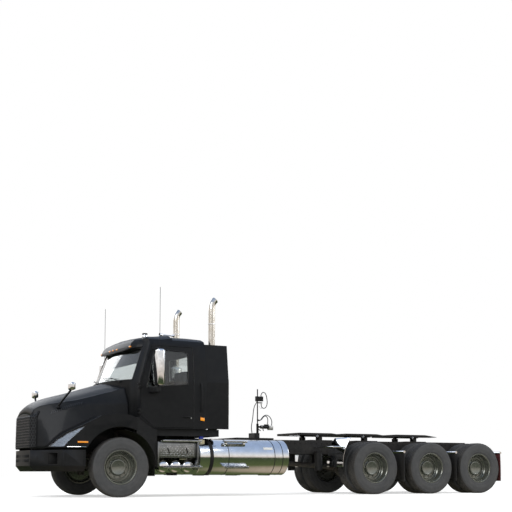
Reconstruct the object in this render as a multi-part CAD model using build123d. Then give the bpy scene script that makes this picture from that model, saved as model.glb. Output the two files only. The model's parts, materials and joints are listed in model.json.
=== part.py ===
from build123d import *
import math
import os

# Heavy-haul tractor unit: one steered axle, three driven axles on twin wheels.
# Stations are in millimetres: X forward of the front axle, Y to the driver's side, Z up from the
# ground.  save() moves every piece so that X = 0 is halfway along the vehicle.

# ---- driving dimensions -------------------------------------------------------------------
RUN_GAP = 0.3            # running clearance round a pin, and the seat left between two pieces
SHUT_GAP = 7.0           # gap round a door or the hood
REAR_SHUT_GAP = 13.0     # behind a door's upper half, which swings back as it opens

TYRE_R = 520.0
TYRE_W = 278.0
TYRE_WALL = 26.0
BEAD_R = 286.0
RIM_W = 210.0
RIM_WALL = 9.0
RIM_LIP = 14.0
RIM_LIP_T = 7.0
HUB_CAP_R = 140.0
HUB_CAP_DEPTH = 150.0    # from the rim's lip in to the hub cap
SPINDLE_R = 45.0

FRONT_WHEEL_Y = 1100.0
KINGPIN_Y = 880.0
KINGPIN_R = 20.0
DUAL_Y = 1050.0          # middle of the outer tyre
DUAL_PITCH = 340.0
WHEELBASE = 5350.0       # front axle to first driven axle
DRIVE_PITCH = (1370.0, 1250.0)

REAR_ARCH_R = 660.0      # the arch behind the front wheel, on the cab's side of the shut line
FAIRING_T = 10.0
FAIRING_FRONT = -285.0

RAIL_Y = 430.0           # outer face of a frame rail
RAIL_TOP = 1065.0
RAIL_H = 270.0
RAIL_FLANGE = 90.0
RAIL_T = 10.0
RAIL_FRONT = 1300.0
RAIL_REAR = -8200.0

NOSE_X = 1415.0          # foremost point of the bumper
NOSE_HALF = 460.0        # half-width of the flat nose
NOSE_BOW = 25.0
FLANK_X = 640.0          # where the swept flank reaches the side
BODY_HALF = 1240.0
BUMPER_BOTTOM = 448.0
BUMPER_TOP = 815.0
BUMPER_WALL = 10.0

HOOD_BOTTOM = 855.0
NOSE_FACE_X = 1400.0
HOOD_REAR = -275.0
HOOD_WALL = 12.0
ARCH_R = 700.0
ARCH_INNER_Y = 600.0
HINGE_X = 1360.0
HINGE_Z = 872.0
HINGE_Y = 380.0
HINGE_PIN_R = 10.0
HINGE_LUG_HALF = 10.0

CAB_REAR = -1630.0
CAB_FLOOR = 1205.0
CAB_HALF = BODY_HALF - 25    # half-width at the sill and the belt
CAB_TOP_HALF = CAB_HALF - 90    # half-width where the roof begins
CAB_WALL = 38.0
BELT_Z = 2060.0
EAVES_Z = 2760.0
CROWN_Z = 2965.0
COWL_X = -15.0           # middle of the cab's front at the cowl
COWL_BOW = 300.0         # how far its bowed front falls back to the pillars
HEADER_BOW = 170.0
HEADER_X = -360.0        # middle of the cab's front under the roof
PILLAR_IN = 95.0         # how far in from the side the bowed front ends
PILLAR_BACK = 20.0
HEEL_Z = 1400.0          # underside of the cab ahead of its slanted heel
HEEL_X = (-320.0, -600.0)
DOOR_FRONT = -340.0
DOOR_PIN_X = DOOR_FRONT + 8
DOOR_PIN_Y = CAB_HALF + 14
DOOR_PIN_R = 8.0
DOOR_HINGE_ZS = (1500.0, 1950.0)
DOOR_REAR = -1380.0
DOOR_TOP = 2690.0
GLASS_T = 6.0

SIDE_PANEL_REAR = -2078.0
SIDE_PANEL_T = 30.0
SKIRT_REAR = -1907.0
SKIRT_BOTTOM = 1078.0

TANK_R = 326.0
TANK_Y = 893.0
TANK_Z = 710.0
TANK_FRONT = -1470.0
TANK_REAR = -3384.0

STACK_X = -1907.0
STACK_Y = 826.0
STACK_R = 62.0
STACK_TOP = 3669.0
MUFFLER_R = 125.0

PLATE_TOP = 1215.0       # where a trailer rests
PLATE_T = 45.0
PLATE_HALF = 450.0
PLATE_LEN = 1060.0
PLATE_FRONTS = (-4020.0, -5112.0, -6360.0)
KINGPIN_BORE_R = 25.6
TILT_PIN_R = 22.0
TILT_Z = 1125.0

AXLE_XS = [-WHEELBASE]
for pitch in DRIVE_PITCH:
    AXLE_XS.append(AXLE_XS[-1] - pitch)
FLAP_XS = (-6035.0, -7345.0, -8530.0)
FLAP_BAR_R = 25.0
ORIGIN_X = -(NOSE_X + FLAP_XS[-1] - FLAP_BAR_R) / 2

os.makedirs("parts", exist_ok=True)


# ---- helpers ------------------------------------------------------------------------------
def box(x, y, z):
    """A box between pairs of limits on each axis."""
    size = [abs(b - a) for a, b in (x, y, z)]
    middle = [(a + b) / 2 for a, b in (x, y, z)]
    return Pos(*middle) * Box(*size)


def rod(radius, start, end):
    """A round bar from one point to another."""
    run = Vector(*end) - Vector(*start)
    return Solid.make_cylinder(radius, run.length, Plane(origin=start, z_dir=run))


def prism_y(outline, y0, y1):
    """An outline of (x, z) points carried across from y0 to y1."""
    wire = Polyline(*[(x, y0, z) for x, z in outline], close=True)
    return extrude(make_face(wire), amount=y1 - y0, dir=(0, 1, 0))


def prism_x(outline, x0, x1):
    """An outline of (y, z) points carried along from x0 to x1."""
    wire = Polyline(*[(x0, y, z) for y, z in outline], close=True)
    return extrude(make_face(wire), amount=x1 - x0, dir=(1, 0, 0))


def prism_z(outline, z0, z1):
    """An outline of (x, y) points carried up from z0 to z1."""
    wire = Polyline(*[(x, y, z0) for x, y in outline], close=True)
    return extrude(make_face(wire), amount=z1 - z0, dir=(0, 0, 1))


def other_side(shape):
    """The same shape on the passenger's side."""
    return mirror(shape, about=Plane.XZ)


def both_sides(*shapes):
    return [*shapes, *[other_side(shape) for shape in shapes]]


def save(node, *shapes):
    """Write one sub-part, as separate solids, at its place in the finished vehicle."""
    solids = []
    for shape in shapes:
        solids += (Pos(ORIGIN_X, 0, 0) * shape).solids()
    export_step(Compound(solids), f"parts/{node}.step")


# ---- wheels -------------------------------------------------------------------------------
def ring(profile):
    """Turn a closed (radius, axial) outline about the Y axis."""
    face = make_face(Polyline(*[(r, a, 0) for r, a in profile], close=True))
    return revolve(face, Axis.Y)


def tyre():
    """Carcass with bulged sidewalls, open towards the rim."""
    half = TYRE_W / 2
    tread = half - 22
    bead = RIM_W / 2 - RIM_LIP_T - RUN_GAP
    seat = BEAD_R + RUN_GAP
    belly = (BEAD_R + TYRE_R) / 2
    outside = [(seat, bead), (BEAD_R + RIM_LIP + RUN_GAP, bead), (seat + 44, bead + 22), (belly - 30, half - 3),
               (belly + 10, half), (TYRE_R - 40, half - 8), (TYRE_R - 12, tread), (TYRE_R, tread - 18)]
    inside = [(TYRE_R - TYRE_WALL, tread - 30), (TYRE_R - 50, half - 42), (belly, half - TYRE_WALL),
              (seat + 34, bead - 12), (seat, bead - 22)]
    lower = [(r, -a) for r, a in reversed(outside)]
    lower_inside = [(r, -a) for r, a in reversed(inside)]
    return ring(outside + lower + lower_inside + inside)


def rim(disc):
    """Barrel and dished disc of one wheel; disc is the web's axial place, outboard positive."""
    lip = RIM_W / 2
    inner = BEAD_R - RIM_WALL
    edge = BEAD_R + RIM_LIP
    groove = lip - RIM_LIP_T
    barrel = ring([(inner, -lip), (edge, -lip), (edge, -groove), (BEAD_R, -groove),
                   (BEAD_R, groove), (edge, groove), (edge, lip), (inner, lip)])
    seat = max(6 - lip, min(lip - 6, disc))
    web = ring([(SPINDLE_R + 20, disc - 6), (205, disc - 6), (inner + 2, seat - 6), (inner + 2, seat + 6),
                (205, disc + 6), (SPINDLE_R + 20, disc + 6)])
    return barrel + web


def step_ring(disc):
    """Raised ring on the outboard face of a disc."""
    return ring([(198, disc), (226, disc), (222, disc + 36), (202, disc + 36)])


def hub(start, cap):
    """Hub turned about Y from its inboard face to the cap, bored for the spindle."""
    body = Solid.make_cylinder(HUB_CAP_R, cap - start, Plane(origin=(0, start, 0), z_dir=(0, 1, 0)))
    bore = rod(SPINDLE_R + RUN_GAP, (0, start - 1, 0), (0, cap - 14, 0))
    return body - bore


def front_wheel():
    """Tyre and rim at the left front wheel's place."""
    lip = FRONT_WHEEL_Y + RIM_W / 2
    cap = lip - HUB_CAP_DEPTH
    disc = cap - 20
    metal = Pos(0, FRONT_WHEEL_Y, 0) * rim(disc - FRONT_WHEEL_Y) + step_ring(disc) + hub(FRONT_HUB_Y, cap)
    return Pos(0, FRONT_WHEEL_Y, 0) * tyre(), metal


def twin_wheel():
    """Two tyres and two rims on one hub at the left end of a driven axle."""
    inner_y = DUAL_Y - DUAL_PITCH
    middle = (DUAL_Y + inner_y) / 2
    cap = DUAL_Y + RIM_W / 2 - HUB_CAP_DEPTH
    outer = Pos(0, DUAL_Y, 0) * rim(middle + 6 - DUAL_Y)
    inner = Pos(0, inner_y, 0) * rim(middle - 6 - inner_y)
    metal = outer + inner + step_ring(middle + 6) + hub(TWIN_HUB_Y, cap)
    return [Pos(0, y, 0) * tyre() for y in (DUAL_Y, inner_y)], metal


SHAFT_Z = TYRE_R + 30
FORK_PLATE_Y = (935.0, 962.0)
FRONT_HUB_Y = FORK_PLATE_Y[1] + 8
HOUSING_END_Y = 578.0
TWIN_HUB_Y = HOUSING_END_Y + 8


def wheels():
    at = Pos(0, 0, TYRE_R)
    rubber, metal = front_wheel()
    for side, turn in (("left", lambda s: s), ("right", other_side)):
        save(f"tyre_front_{side}", turn(at * rubber))
        save(f"rim_front_{side}", turn(at * metal))
    rubbers, metal = twin_wheel()
    for number, x in enumerate(AXLE_XS, start=1):
        at = Pos(x, 0, TYRE_R)
        for side, turn in (("left", lambda s: s), ("right", other_side)):
            save(f"tyres_drive{number}_{side}", *[turn(at * tyre_solid) for tyre_solid in rubbers])
            save(f"rims_drive{number}_{side}", turn(at * metal))


# ---- front axle and steering --------------------------------------------------------------
def front_axle():
    boss_z = (TYRE_R - 80, TYRE_R + 80)
    beam = box((-45, 45), (-KINGPIN_Y, KINGPIN_Y), (TYRE_R - 60, TYRE_R + 20))
    beam -= box((-46, -12), (-KINGPIN_Y + 130, KINGPIN_Y - 130), (TYRE_R - 45, TYRE_R + 5))
    beam -= box((12, 46), (-KINGPIN_Y + 130, KINGPIN_Y - 130), (TYRE_R - 45, TYRE_R + 5))
    for y in (KINGPIN_Y, -KINGPIN_Y):
        beam += rod(48, (0, y, boss_z[0]), (0, y, boss_z[1]))
        beam += rod(KINGPIN_R, (0, y, boss_z[0] - 60), (0, y, boss_z[1] + 60))
    save("front_axle", beam)


def knuckle():
    """Forked knuckle round the kingpin, with the left wheel's spindle."""
    lug_z = ((TYRE_R + 80 + RUN_GAP, TYRE_R + 140), (TYRE_R - 140, TYRE_R - 80 - RUN_GAP))
    body = box((-55, 55), FORK_PLATE_Y, (TYRE_R - 140, TYRE_R + 140))
    for z in lug_z:
        body += rod(46, (0, KINGPIN_Y, z[0]), (0, KINGPIN_Y, z[1]))
        body += box((-40, 40), (KINGPIN_Y, FORK_PLATE_Y[1]), z)
    body -= rod(KINGPIN_R + RUN_GAP, (0, KINGPIN_Y, TYRE_R - 150), (0, KINGPIN_Y, TYRE_R + 150))
    spindle_end = FRONT_WHEEL_Y + RIM_W / 2 - HUB_CAP_DEPTH - 15
    body += rod(SPINDLE_R, (0, FORK_PLATE_Y[0] + 5, TYRE_R), (0, spindle_end, TYRE_R))
    return body


def leaf_spring():
    """Front spring on the left: an arched pack between two hangers under the rail."""
    arch = [(-640, 742), (-300, 672), (0, 630), (300, 672), (640, 742)]
    pack = [(x, z) for x, z in arch] + [(x, z + 26) for x, z in reversed(arch)]
    spring = prism_y(pack, RAIL_Y - 80, RAIL_Y - 5)
    for x in (-640, 640):
        spring += box((x - 45, x + 45), (RAIL_Y - 80, RAIL_Y - 5), (738, RAIL_TOP - RAIL_H))
    spring += box((-70, 70), (RAIL_Y - 80, RAIL_Y - 5), (TYRE_R + 20, 655))
    return spring


# ---- frame --------------------------------------------------------------------------------
def frame(cradles):
    bottom = RAIL_TOP - RAIL_H
    inner = RAIL_Y - RAIL_FLANGE
    channel = [(RAIL_Y, bottom), (RAIL_Y, RAIL_TOP), (inner, RAIL_TOP), (inner, RAIL_TOP - RAIL_T),
               (RAIL_Y - RAIL_T, RAIL_TOP - RAIL_T), (RAIL_Y - RAIL_T, bottom + RAIL_T), (inner, bottom + RAIL_T),
               (inner, bottom)]
    save("frame_rails", *both_sides(prism_x(channel, RAIL_REAR, RAIL_FRONT)))
    reach = RAIL_Y - RAIL_T
    members = []
    for x in (RAIL_FRONT - 60, -1760, -2900, -3900, -4700, -6035, -7345, RAIL_REAR + 40):
        web = box((x - 4, x + 4), (-reach, reach), (900, RAIL_TOP - RAIL_T - 5))
        flanges = [box((x - 35, x + 35), (-reach, reach), z) for z in ((900, 908), (RAIL_TOP - RAIL_T - 13, RAIL_TOP - RAIL_T - 5))]
        members.append(web + flanges[0] + flanges[1])
    save("crossmembers", *members, *cradles)


def drive_axles():
    housings = []
    for x in AXLE_XS:
        tube = rod(68, (x, -HOUSING_END_Y, TYRE_R), (x, HOUSING_END_Y, TYRE_R))
        bowl = Pos(x, 0, TYRE_R) * Sphere(200)
        bowl += rod(85, (x, 0, SHAFT_Z), (x + 260, 0, SHAFT_Z)) + rod(70, (x - 230, 0, SHAFT_Z), (x, 0, SHAFT_Z))
        housing = tube + bowl
        end = DUAL_Y + RIM_W / 2 - HUB_CAP_DEPTH - 15
        housing += rod(SPINDLE_R, (x, -end, TYRE_R), (x, end, TYRE_R))
        housings.append(housing)
    save("drive_axles", *housings)


def rear_suspension():
    pieces = []
    under = RAIL_TOP - RAIL_H
    arm_y = (RAIL_Y - 75, RAIL_Y - 5)
    for x in AXLE_XS:
        arm = prism_y([(x + 520, 620), (x + 520, 680), (x + 80, 640), (x - 330, 640), (x - 330, 600),
                       (x + 80, TYRE_R + 68.5), (x - 80, TYRE_R + 68.5)][:5] + [(x + 80, 600)], *arm_y)
        arm += box((x - 60, x + 60), arm_y, (TYRE_R + 60, 610))
        arm -= rod(68 + RUN_GAP, (x, 300, TYRE_R), (x, 500, TYRE_R))
        arm += box((x + 470, x + 560), arm_y, (610, under))
        bag_y = sum(arm_y) / 2
        arm += rod(95, (x - 225, bag_y - 5, 640), (x - 225, bag_y - 5, under))
        pieces.append(arm)
    bottle = rod(78, (-4411, 540, 470), (-4411, 540, 812))
    bottle += box((-4451, -4371), (RAIL_Y, 545), (815, 845)) + rod(30, (-4411, 540, 800), (-4411, 540, 830))
    pieces.append(bottle)
    save("suspension", *both_sides(*pieces, leaf_spring()))


def driveline():
    engine = box((-260, 880), (-330, 330), (700, HEEL_Z - 20))
    for x in (-200, 700):
        engine += box((x - 40, x + 40), (-RAIL_Y + RAIL_T, RAIL_Y - RAIL_T), (RAIL_TOP - 200, RAIL_TOP - 120))
    save("engine_block", engine)
    gearbox = box((-1250, -260 - RUN_GAP), (-240, 240), (640, 1040))
    joint_x = AXLE_XS[0] + 380
    shaft = gearbox + rod(50, (-1240, 0, 790), (joint_x, 0, SHAFT_Z)) + Pos(joint_x, 0, SHAFT_Z) * Sphere(62)
    pieces = [shaft + rod(55, (AXLE_XS[0] + 260 + RUN_GAP, 0, SHAFT_Z), (joint_x, 0, SHAFT_Z))]
    for front, rear in zip(AXLE_XS, AXLE_XS[1:]):
        pieces.append(rod(45, (rear + 260 + RUN_GAP, 0, SHAFT_Z), (front - 230 - RUN_GAP, 0, SHAFT_Z)))
    save("driveline", *pieces)
    radiator = box((930, 1060), (-420, 420), (RAIL_TOP + RUN_GAP, 1480))
    save("radiator", radiator)


# ---- bumper -------------------------------------------------------------------------------
def nose_outline(inset, half, rear):
    """Plan of the swept nose: flat bowed middle and two flanks, as (x, y) points."""
    bow = [(NOSE_X - inset - NOSE_BOW * (t / 4) ** 2, NOSE_HALF * t / 4) for t in range(5)]
    side = half - inset
    knee = (FLANK_X + 340 - inset, side - 190)
    left = bow + [knee, (FLANK_X + 40 - inset, side), (rear, side)]
    return left + [(x, -y) for x, y in reversed(left[1:] if left[0][1] == 0 else left)]


def bumper():
    chin = 95

    def body(inset):
        upper = nose_outline(inset, BODY_HALF - 20, FLANK_X - 300)
        lower = nose_outline(inset + 80, BODY_HALF - 20, FLANK_X - 300)
        top = prism_z(upper, BUMPER_BOTTOM + chin, BUMPER_TOP - inset)
        wires = [Polyline(*[(x, y, z) for x, y in points], close=True)
                 for points, z in ((lower, BUMPER_BOTTOM), (upper, BUMPER_BOTTOM + chin))]
        return top + loft([make_face(wire) for wire in wires], ruled=True), prism_z(lower, BUMPER_BOTTOM - 20, BUMPER_BOTTOM)

    outer, _ = body(0)
    inner, below = body(BUMPER_WALL)
    skin = outer - inner - below
    skin -= box((-BODY_HALF, FLANK_X), (-2 * BODY_HALF, 2 * BODY_HALF), (0, BUMPER_TOP + 1))
    lip = nose_outline(60, BODY_HALF - 20, FLANK_X - 300)
    skin -= prism_z(lip, BUMPER_TOP - BUMPER_WALL - 1, BUMPER_TOP + 1)
    arms = box((FOG_X - 70, NOSE_X - NOSE_BOW - 5), (RAIL_Y - 85, RAIL_Y - 5), (600, RAIL_TOP - RAIL_H))
    for side in (-1, 1):
        ear_y = HINGE_Y + side * (HINGE_LUG_HALF + RUN_GAP)
        ear = box((HINGE_X - 55, HINGE_X - 14), (ear_y, ear_y + side * 12), (RAIL_TOP - RAIL_H - 1, HINGE_Z + 10))
        arms += ear + rod(17, (HINGE_X, ear_y, HINGE_Z), (HINGE_X, ear_y + side * 12, HINGE_Z))
    arms += rod(HINGE_PIN_R, (HINGE_X, HINGE_Y - 24, HINGE_Z), (HINGE_X, HINGE_Y + 24, HINGE_Z))
    for y in (1, -1):
        recess = [(900, y * 780), (1400, y * 780), (1400, y * 945), (900, y * 945)]
        skin -= prism_z(recess, 575, 765)
    lamps = [rod(58, (FOG_X - 60, FOG_Y, z), (FOG_X, FOG_Y, z)) for z in (702, 612)]
    plate = box((FOG_X - 70, FOG_X - 60), (RAIL_Y - 10, 1050), (560, 780))
    save("bumper", skin + arms + other_side(arms) + plate + other_side(plate))
    save("fog_lamps", *both_sides(*lamps))


# ---- hood ---------------------------------------------------------------------------------
# station, half-width at the sill, at the shoulder, its height, at the crease, its height, crown
HOOD_SECTIONS = (
    (NOSE_FACE_X, 455, 455, 1250, 425, 1400, 1450),
    (1330, 530, 505, 1330, 455, 1530, 1600),
    (1110, 790, 600, 1410, 520, 1610, 1722),
    (640, 950, 740, 1600, 650, 1690, 1855),
    (50, 1000, 900, 1640, 790, 1850, 2030),
    (HOOD_REAR, 1010, 965, 1650, 885, 1960, 2095),
)
FENDER_TOP = ((1190, HOOD_BOTTOM), (1080, 1000), (950, 1110), (800, 1190), (640, 1265), (375, 1400), (68, 1450),
              (-150, 1430), (HOOD_REAR, 1385))
HEADLAMP = ((1160, 872), (1060, 985), (940, 1080), (800, 1160), (650, 1222), (790, 1085), (900, 965), (965, 872))
GRILLE_HALF = 400.0
GRILLE_Z = (888.0, 1395.0)


def hood_body(inset):
    """Bonnet, swept flanks and fenders, as a solid whose skin lies inset inwards."""
    rear = HOOD_REAR - 60 * (inset > 0)
    foot = HOOD_BOTTOM - 60 * (inset > 0)
    faces = []
    for x, sill, shoulder, shoulder_z, crease, crease_z, crown in HOOD_SECTIONS:
        x = x - inset if x == HOOD_SECTIONS[0][0] else (rear if x == HOOD_REAR else x)
        side = [(x, sill - inset, foot), (x, shoulder - inset, shoulder_z - inset / 2), (x, crease - inset, crease_z - inset)]
        left = Polyline(*side)
        top = ThreePointArc(side[-1], (x, 0, crown - inset), (x, inset - crease, crease_z - inset))
        right = Polyline(*[(x, -y, z) for _, y, z in reversed(side)])
        floor = Line((x, inset - sill, foot), (x, sill - inset, foot))
        faces.append(make_face([left, top, right, floor]))
    bonnet = loft(faces, ruled=True)
    plan = prism_z(nose_outline(inset + 8, BODY_HALF, rear), foot, 1600)
    crest = [(x, z - inset) for x, z in FENDER_TOP]
    crest = [(crest[0][0] - inset, foot)] + crest + [(rear, crest[-1][1]), (rear, foot)] if inset else crest + [(rear, foot)]
    fenders = plan & prism_y(crest, -2 * BODY_HALF, 2 * BODY_HALF)
    well = Solid.make_cylinder(ARCH_R + inset, 2 * BODY_HALF, Plane(origin=(0, ARCH_INNER_Y - inset, TYRE_R), z_dir=(0, 1, 0)))
    return bonnet + fenders - well - other_side(well)


def cowl_sweep():
    """Everything behind the hood's bowed rear edge."""
    y = CAB_HALF - PILLAR_IN
    front = COWL_X + SHUT_GAP
    corner = front - COWL_BOW
    foot = HOOD_BOTTOM - 100
    sides = Polyline((corner, y, foot), (corner - 200, y, foot), (corner - 200, -y, foot), (corner, -y, foot))
    bow = ThreePointArc((corner, -y, foot), (front, 0, foot), (corner, y, foot))
    return extrude(make_face([*sides.edges(), bow]), amount=2 * (BELT_Z - foot), dir=(0, 0, 1))


def hood():
    outer = hood_body(0)
    inner = hood_body(HOOD_WALL)
    shell = outer - inner - cowl_sweep()
    lamp_hole = prism_y(HEADLAMP, 500, 2 * BODY_HALF)
    lens = offset(prism_y(HEADLAMP, 500, 2 * BODY_HALF), -RUN_GAP) & shell
    shell = shell - lamp_hole - other_side(lamp_hole)
    opening = box((1300, 1500), (-GRILLE_HALF, GRILLE_HALF), GRILLE_Z)
    shell -= opening
    for y in (HINGE_Y, -HINGE_Y):
        lug = box((HINGE_X, NOSE_FACE_X - HOOD_WALL + 1), (y - HINGE_LUG_HALF, y + HINGE_LUG_HALF), (HINGE_Z - 14, HINGE_Z + 14))
        shell += lug + rod(17, (HINGE_X, y - HINGE_LUG_HALF, HINGE_Z), (HINGE_X, y + HINGE_LUG_HALF, HINGE_Z))
        shell -= rod(HINGE_PIN_R + RUN_GAP, (HINGE_X, y - 20, HINGE_Z), (HINGE_X, y + 20, HINGE_Z))
    save("hood", shell)
    save("headlamps", *both_sides(lens))
    grille()


def grille():
    gap = RUN_GAP
    plate = box((1390, 1398), (-GRILLE_HALF + gap, GRILLE_HALF - gap), (GRILLE_Z[0] + gap, GRILLE_Z[1] - gap))
    columns, rows = 8, 7
    pitch_y = (2 * GRILLE_HALF - 30) / columns
    pitch_z = (GRILLE_Z[1] - GRILLE_Z[0] - 30) / rows
    holes = []
    for i in range(columns):
        for j in range(rows):
            y = -GRILLE_HALF + 15 + pitch_y * (i + 0.5)
            z = GRILLE_Z[0] + 15 + pitch_z * (j + 0.5)
            holes.append(box((1380, 1410), (y - pitch_y * 0.4, y + pitch_y * 0.4), (z - pitch_z * 0.38, z + pitch_z * 0.38)))
    save("grille", plate - holes)


def hood_mirror():
    head = box((835, 925), (1030, 1200), (1830, 1965))
    arm = rod(11, (880, 1090, 1835), (960, 640, 1590))
    foot = rod(30, (962, 660, 1600), (950, 540, 1550))
    return head + arm + (foot - hood_body(0))


# ---- cab ----------------------------------------------------------------------------------
DOOR = ((DOOR_FRONT, HEEL_Z + 30), (HEEL_X[1], CAB_FLOOR + 16), (DOOR_REAR, CAB_FLOOR + 16), (DOOR_REAR, DOOR_TOP),
        (DOOR_FRONT - 240, DOOR_TOP), (DOOR_FRONT, 1980))
WINDOW = ((-455, 1925), (-1262, 2005), (-1275, 2560), (-1235, 2598), (-625, 2632))
WINDSHIELD = ((1010, 2070), (955, 2680), (-955, 2680), (-1010, 2070))
REAR_WINDOW = ((450, 2180), (450, 2610), (-450, 2610), (-450, 2180))


def cab_outline(z, inset):
    """Plan of the cab at height z: straight sides, square rear, bowed front."""
    lean = max(0.0, (z - BELT_Z) / (EAVES_Z - BELT_Z))
    half = CAB_HALF + (CAB_TOP_HALF - CAB_HALF) * lean - inset
    front = COWL_X + (HEADER_X - COWL_X) * lean - inset
    rear = CAB_REAR + inset
    corner = front - COWL_BOW - (HEADER_BOW - COWL_BOW) * lean
    side = [(corner, half - PILLAR_IN, z), (corner - PILLAR_BACK, half, z), (rear, half, z)]
    left = Polyline(*side)
    back = Line((rear, half, z), (rear, -half, z))
    right = Polyline(*[(x, -y, z) for x, y, z in reversed(side)])
    bow = ThreePointArc((corner, PILLAR_IN - half, z), (front, 0, z), (corner, half - PILLAR_IN, z))
    return make_face([left, back, right, bow])


def cab_body(inset):
    foot = CAB_FLOOR + inset
    body = loft([cab_outline(foot, inset), cab_outline(BELT_Z, inset)], ruled=True)
    body += loft([cab_outline(BELT_Z, inset), cab_outline(EAVES_Z, inset)], ruled=True)
    body += extrude(cab_outline(EAVES_Z, inset), amount=CROWN_Z - EAVES_Z, dir=(0, 0, 1))
    eaves = CAB_TOP_HALF - inset
    half = [(eaves + 20, EAVES_Z - 70 - inset), (eaves - 50, EAVES_Z + 45 - inset), (eaves - 150, EAVES_Z + 95 - inset)]
    crown = prism_x([(1400, 1000), (1400, EAVES_Z - 70 - inset)] + half + [(500, CROWN_Z - 30 - inset),
                    (0, CROWN_Z - inset), (-500, CROWN_Z - 30 - inset)] + [(-y, z) for y, z in reversed(half)]
                    + [(-1400, EAVES_Z - 70 - inset), (-1400, 1000)], CAB_REAR - 50, 200)
    side = prism_y([(200, 1000), (200, 2660), (HEADER_X, 2660 - inset), (HEADER_X - 40, 2760 - inset), (-560, 2872 - inset), (-900, 2935 - inset),
                    (-1200, CROWN_Z + 1 - inset), (-1480, CROWN_Z - 12 - inset), (CAB_REAR + 70 + inset, 2915 - inset),
                    (CAB_REAR + inset - 1, 2820 - inset), (CAB_REAR + inset - 1, 1000)], -1400, 1400)
    heel = prism_y([(200, 1100), (200, HEEL_Z + inset), (HEEL_X[0], HEEL_Z + inset), (HEEL_X[1], CAB_FLOOR - 1 + inset),
                    (HEEL_X[1], 1100)], -1400, 1400)
    return (body & crown & side) - heel


def door_hinge(z):
    """Pin and ears carried by the cab, and the lug that turns on the pin with the left door."""
    pin = rod(DOOR_PIN_R, (DOOR_PIN_X, DOOR_PIN_Y, z - 45), (DOOR_PIN_X, DOOR_PIN_Y, z + 45))
    ears = []
    for low in (z - 45, z + 18):
        ear = rod(13, (DOOR_PIN_X, DOOR_PIN_Y, low), (DOOR_PIN_X, DOOR_PIN_Y, low + 27))
        ears.append(ear + box((DOOR_PIN_X, DOOR_PIN_X + 34), (CAB_HALF - 40, DOOR_PIN_Y + 13), (low, low + 27)))
    half = 18 - RUN_GAP
    lug = rod(13, (DOOR_PIN_X, DOOR_PIN_Y, z - half), (DOOR_PIN_X, DOOR_PIN_Y, z + half))
    lug += box((DOOR_PIN_X - 45, DOOR_PIN_X), (CAB_HALF - 5, DOOR_PIN_Y + 13), (z - half, z + half))
    lug -= box((DOOR_PIN_X - 8, DOOR_PIN_X), (CAB_HALF - 6, CAB_HALF), (z - 20, z + 20))
    lug -= rod(DOOR_PIN_R + RUN_GAP, (DOOR_PIN_X, DOOR_PIN_Y, z - 20), (DOOR_PIN_X, DOOR_PIN_Y, z + 20))
    return pin, ears[0] + ears[1], lug


def cab():
    outer = cab_body(0)
    walls = outer - cab_body(CAB_WALL)
    pane = cab_body(14) - cab_body(14 + GLASS_T)
    opening = prism_y(DOOR, CAB_TOP_HALF - 125, CAB_HALF + 85)
    opening -= box((CAB_REAR, COWL_X), (0, CAB_HALF - CAB_WALL), (CAB_FLOOR, BELT_Z - 100))
    leaf = offset(opening, -SHUT_GAP) & walls
    leaf -= box((CAB_REAR, DOOR_REAR + REAR_SHUT_GAP), (0, CAB_HALF), (BELT_Z, CROWN_Z))
    hole = prism_y(WINDOW, CAB_TOP_HALF - 325, CAB_HALF + 185)
    glass = offset(prism_y(WINDOW, CAB_TOP_HALF - 225, CAB_HALF + 85), -RUN_GAP) & pane
    shell = walls - opening - other_side(opening)
    front_hole = prism_x(WINDSHIELD, -800, 200)
    rear_hole = prism_x(REAR_WINDOW, CAB_REAR - 50, CAB_REAR + 100)
    shell = shell - front_hole - rear_hole
    door = leaf - hole
    for z in DOOR_HINGE_ZS:
        pin, ears, lug = door_hinge(z)
        shell = shell + ears + other_side(ears) + pin + other_side(pin)
        door = door + lug
    save("cab_shell", shell)
    save("door_left", door)
    save("door_right", other_side(door))
    save("door_glass_left", glass)
    save("door_glass_right", other_side(glass))
    windshield = offset(front_hole, -RUN_GAP) & pane
    rear_pane = offset(rear_hole, -RUN_GAP) & pane
    save("cab_glass", windshield, rear_pane)
    interior()


def interior():
    floor = CAB_FLOOR + CAB_WALL
    dash = prism_y([(-360, 1700), (-360, 2050), (-560, 2060), (-660, 2010), (-690, 1950), (-620, 1700)], -1000, 1000)
    dash += prism_y([(-430, 1720), (-430, 1470), (-612, 1310), (-612, floor), (-670, floor), (-670, 1720)], -100, 100)
    wheel = Pos(-790, 520, 2020) * Rot(0, 62, 0) * Torus(220, 16)
    wheel += rod(24, (-650, 520, 1945), (-790, 520, 2020)) + Pos(-790, 520, 2020) * Rot(0, 62, 0) * Box(440, 40, 14)
    seats = []
    for y in (520, -520):
        seat = box((-1420, -960), (y - 250, y + 250), (1640, 1780))
        seat += box((-1500, -1380), (y - 240, y + 240), (1700, 2290))
        seat += box((-1340, -1040), (y - 150, y + 150), (floor, 1645))
        seats.append(seat)
    save("cab_interior", dash + wheel, *seats)


def cab_underframe():
    skirt = box((SKIRT_REAR, -600), (-1150, 1150), (SKIRT_BOTTOM, CAB_FLOOR))
    skirt -= box((SKIRT_REAR + 12, -612), (-1138, 1138), (SKIRT_BOTTOM - 1, CAB_FLOOR - 12))
    for x in (-680, -1560):
        skirt += box((x - 40, x + 40), (-RAIL_Y, RAIL_Y), (RAIL_TOP, CAB_FLOOR - 10))
    guard = arch_fairing()
    save("cab_underframe", skirt + guard + other_side(guard))


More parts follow.
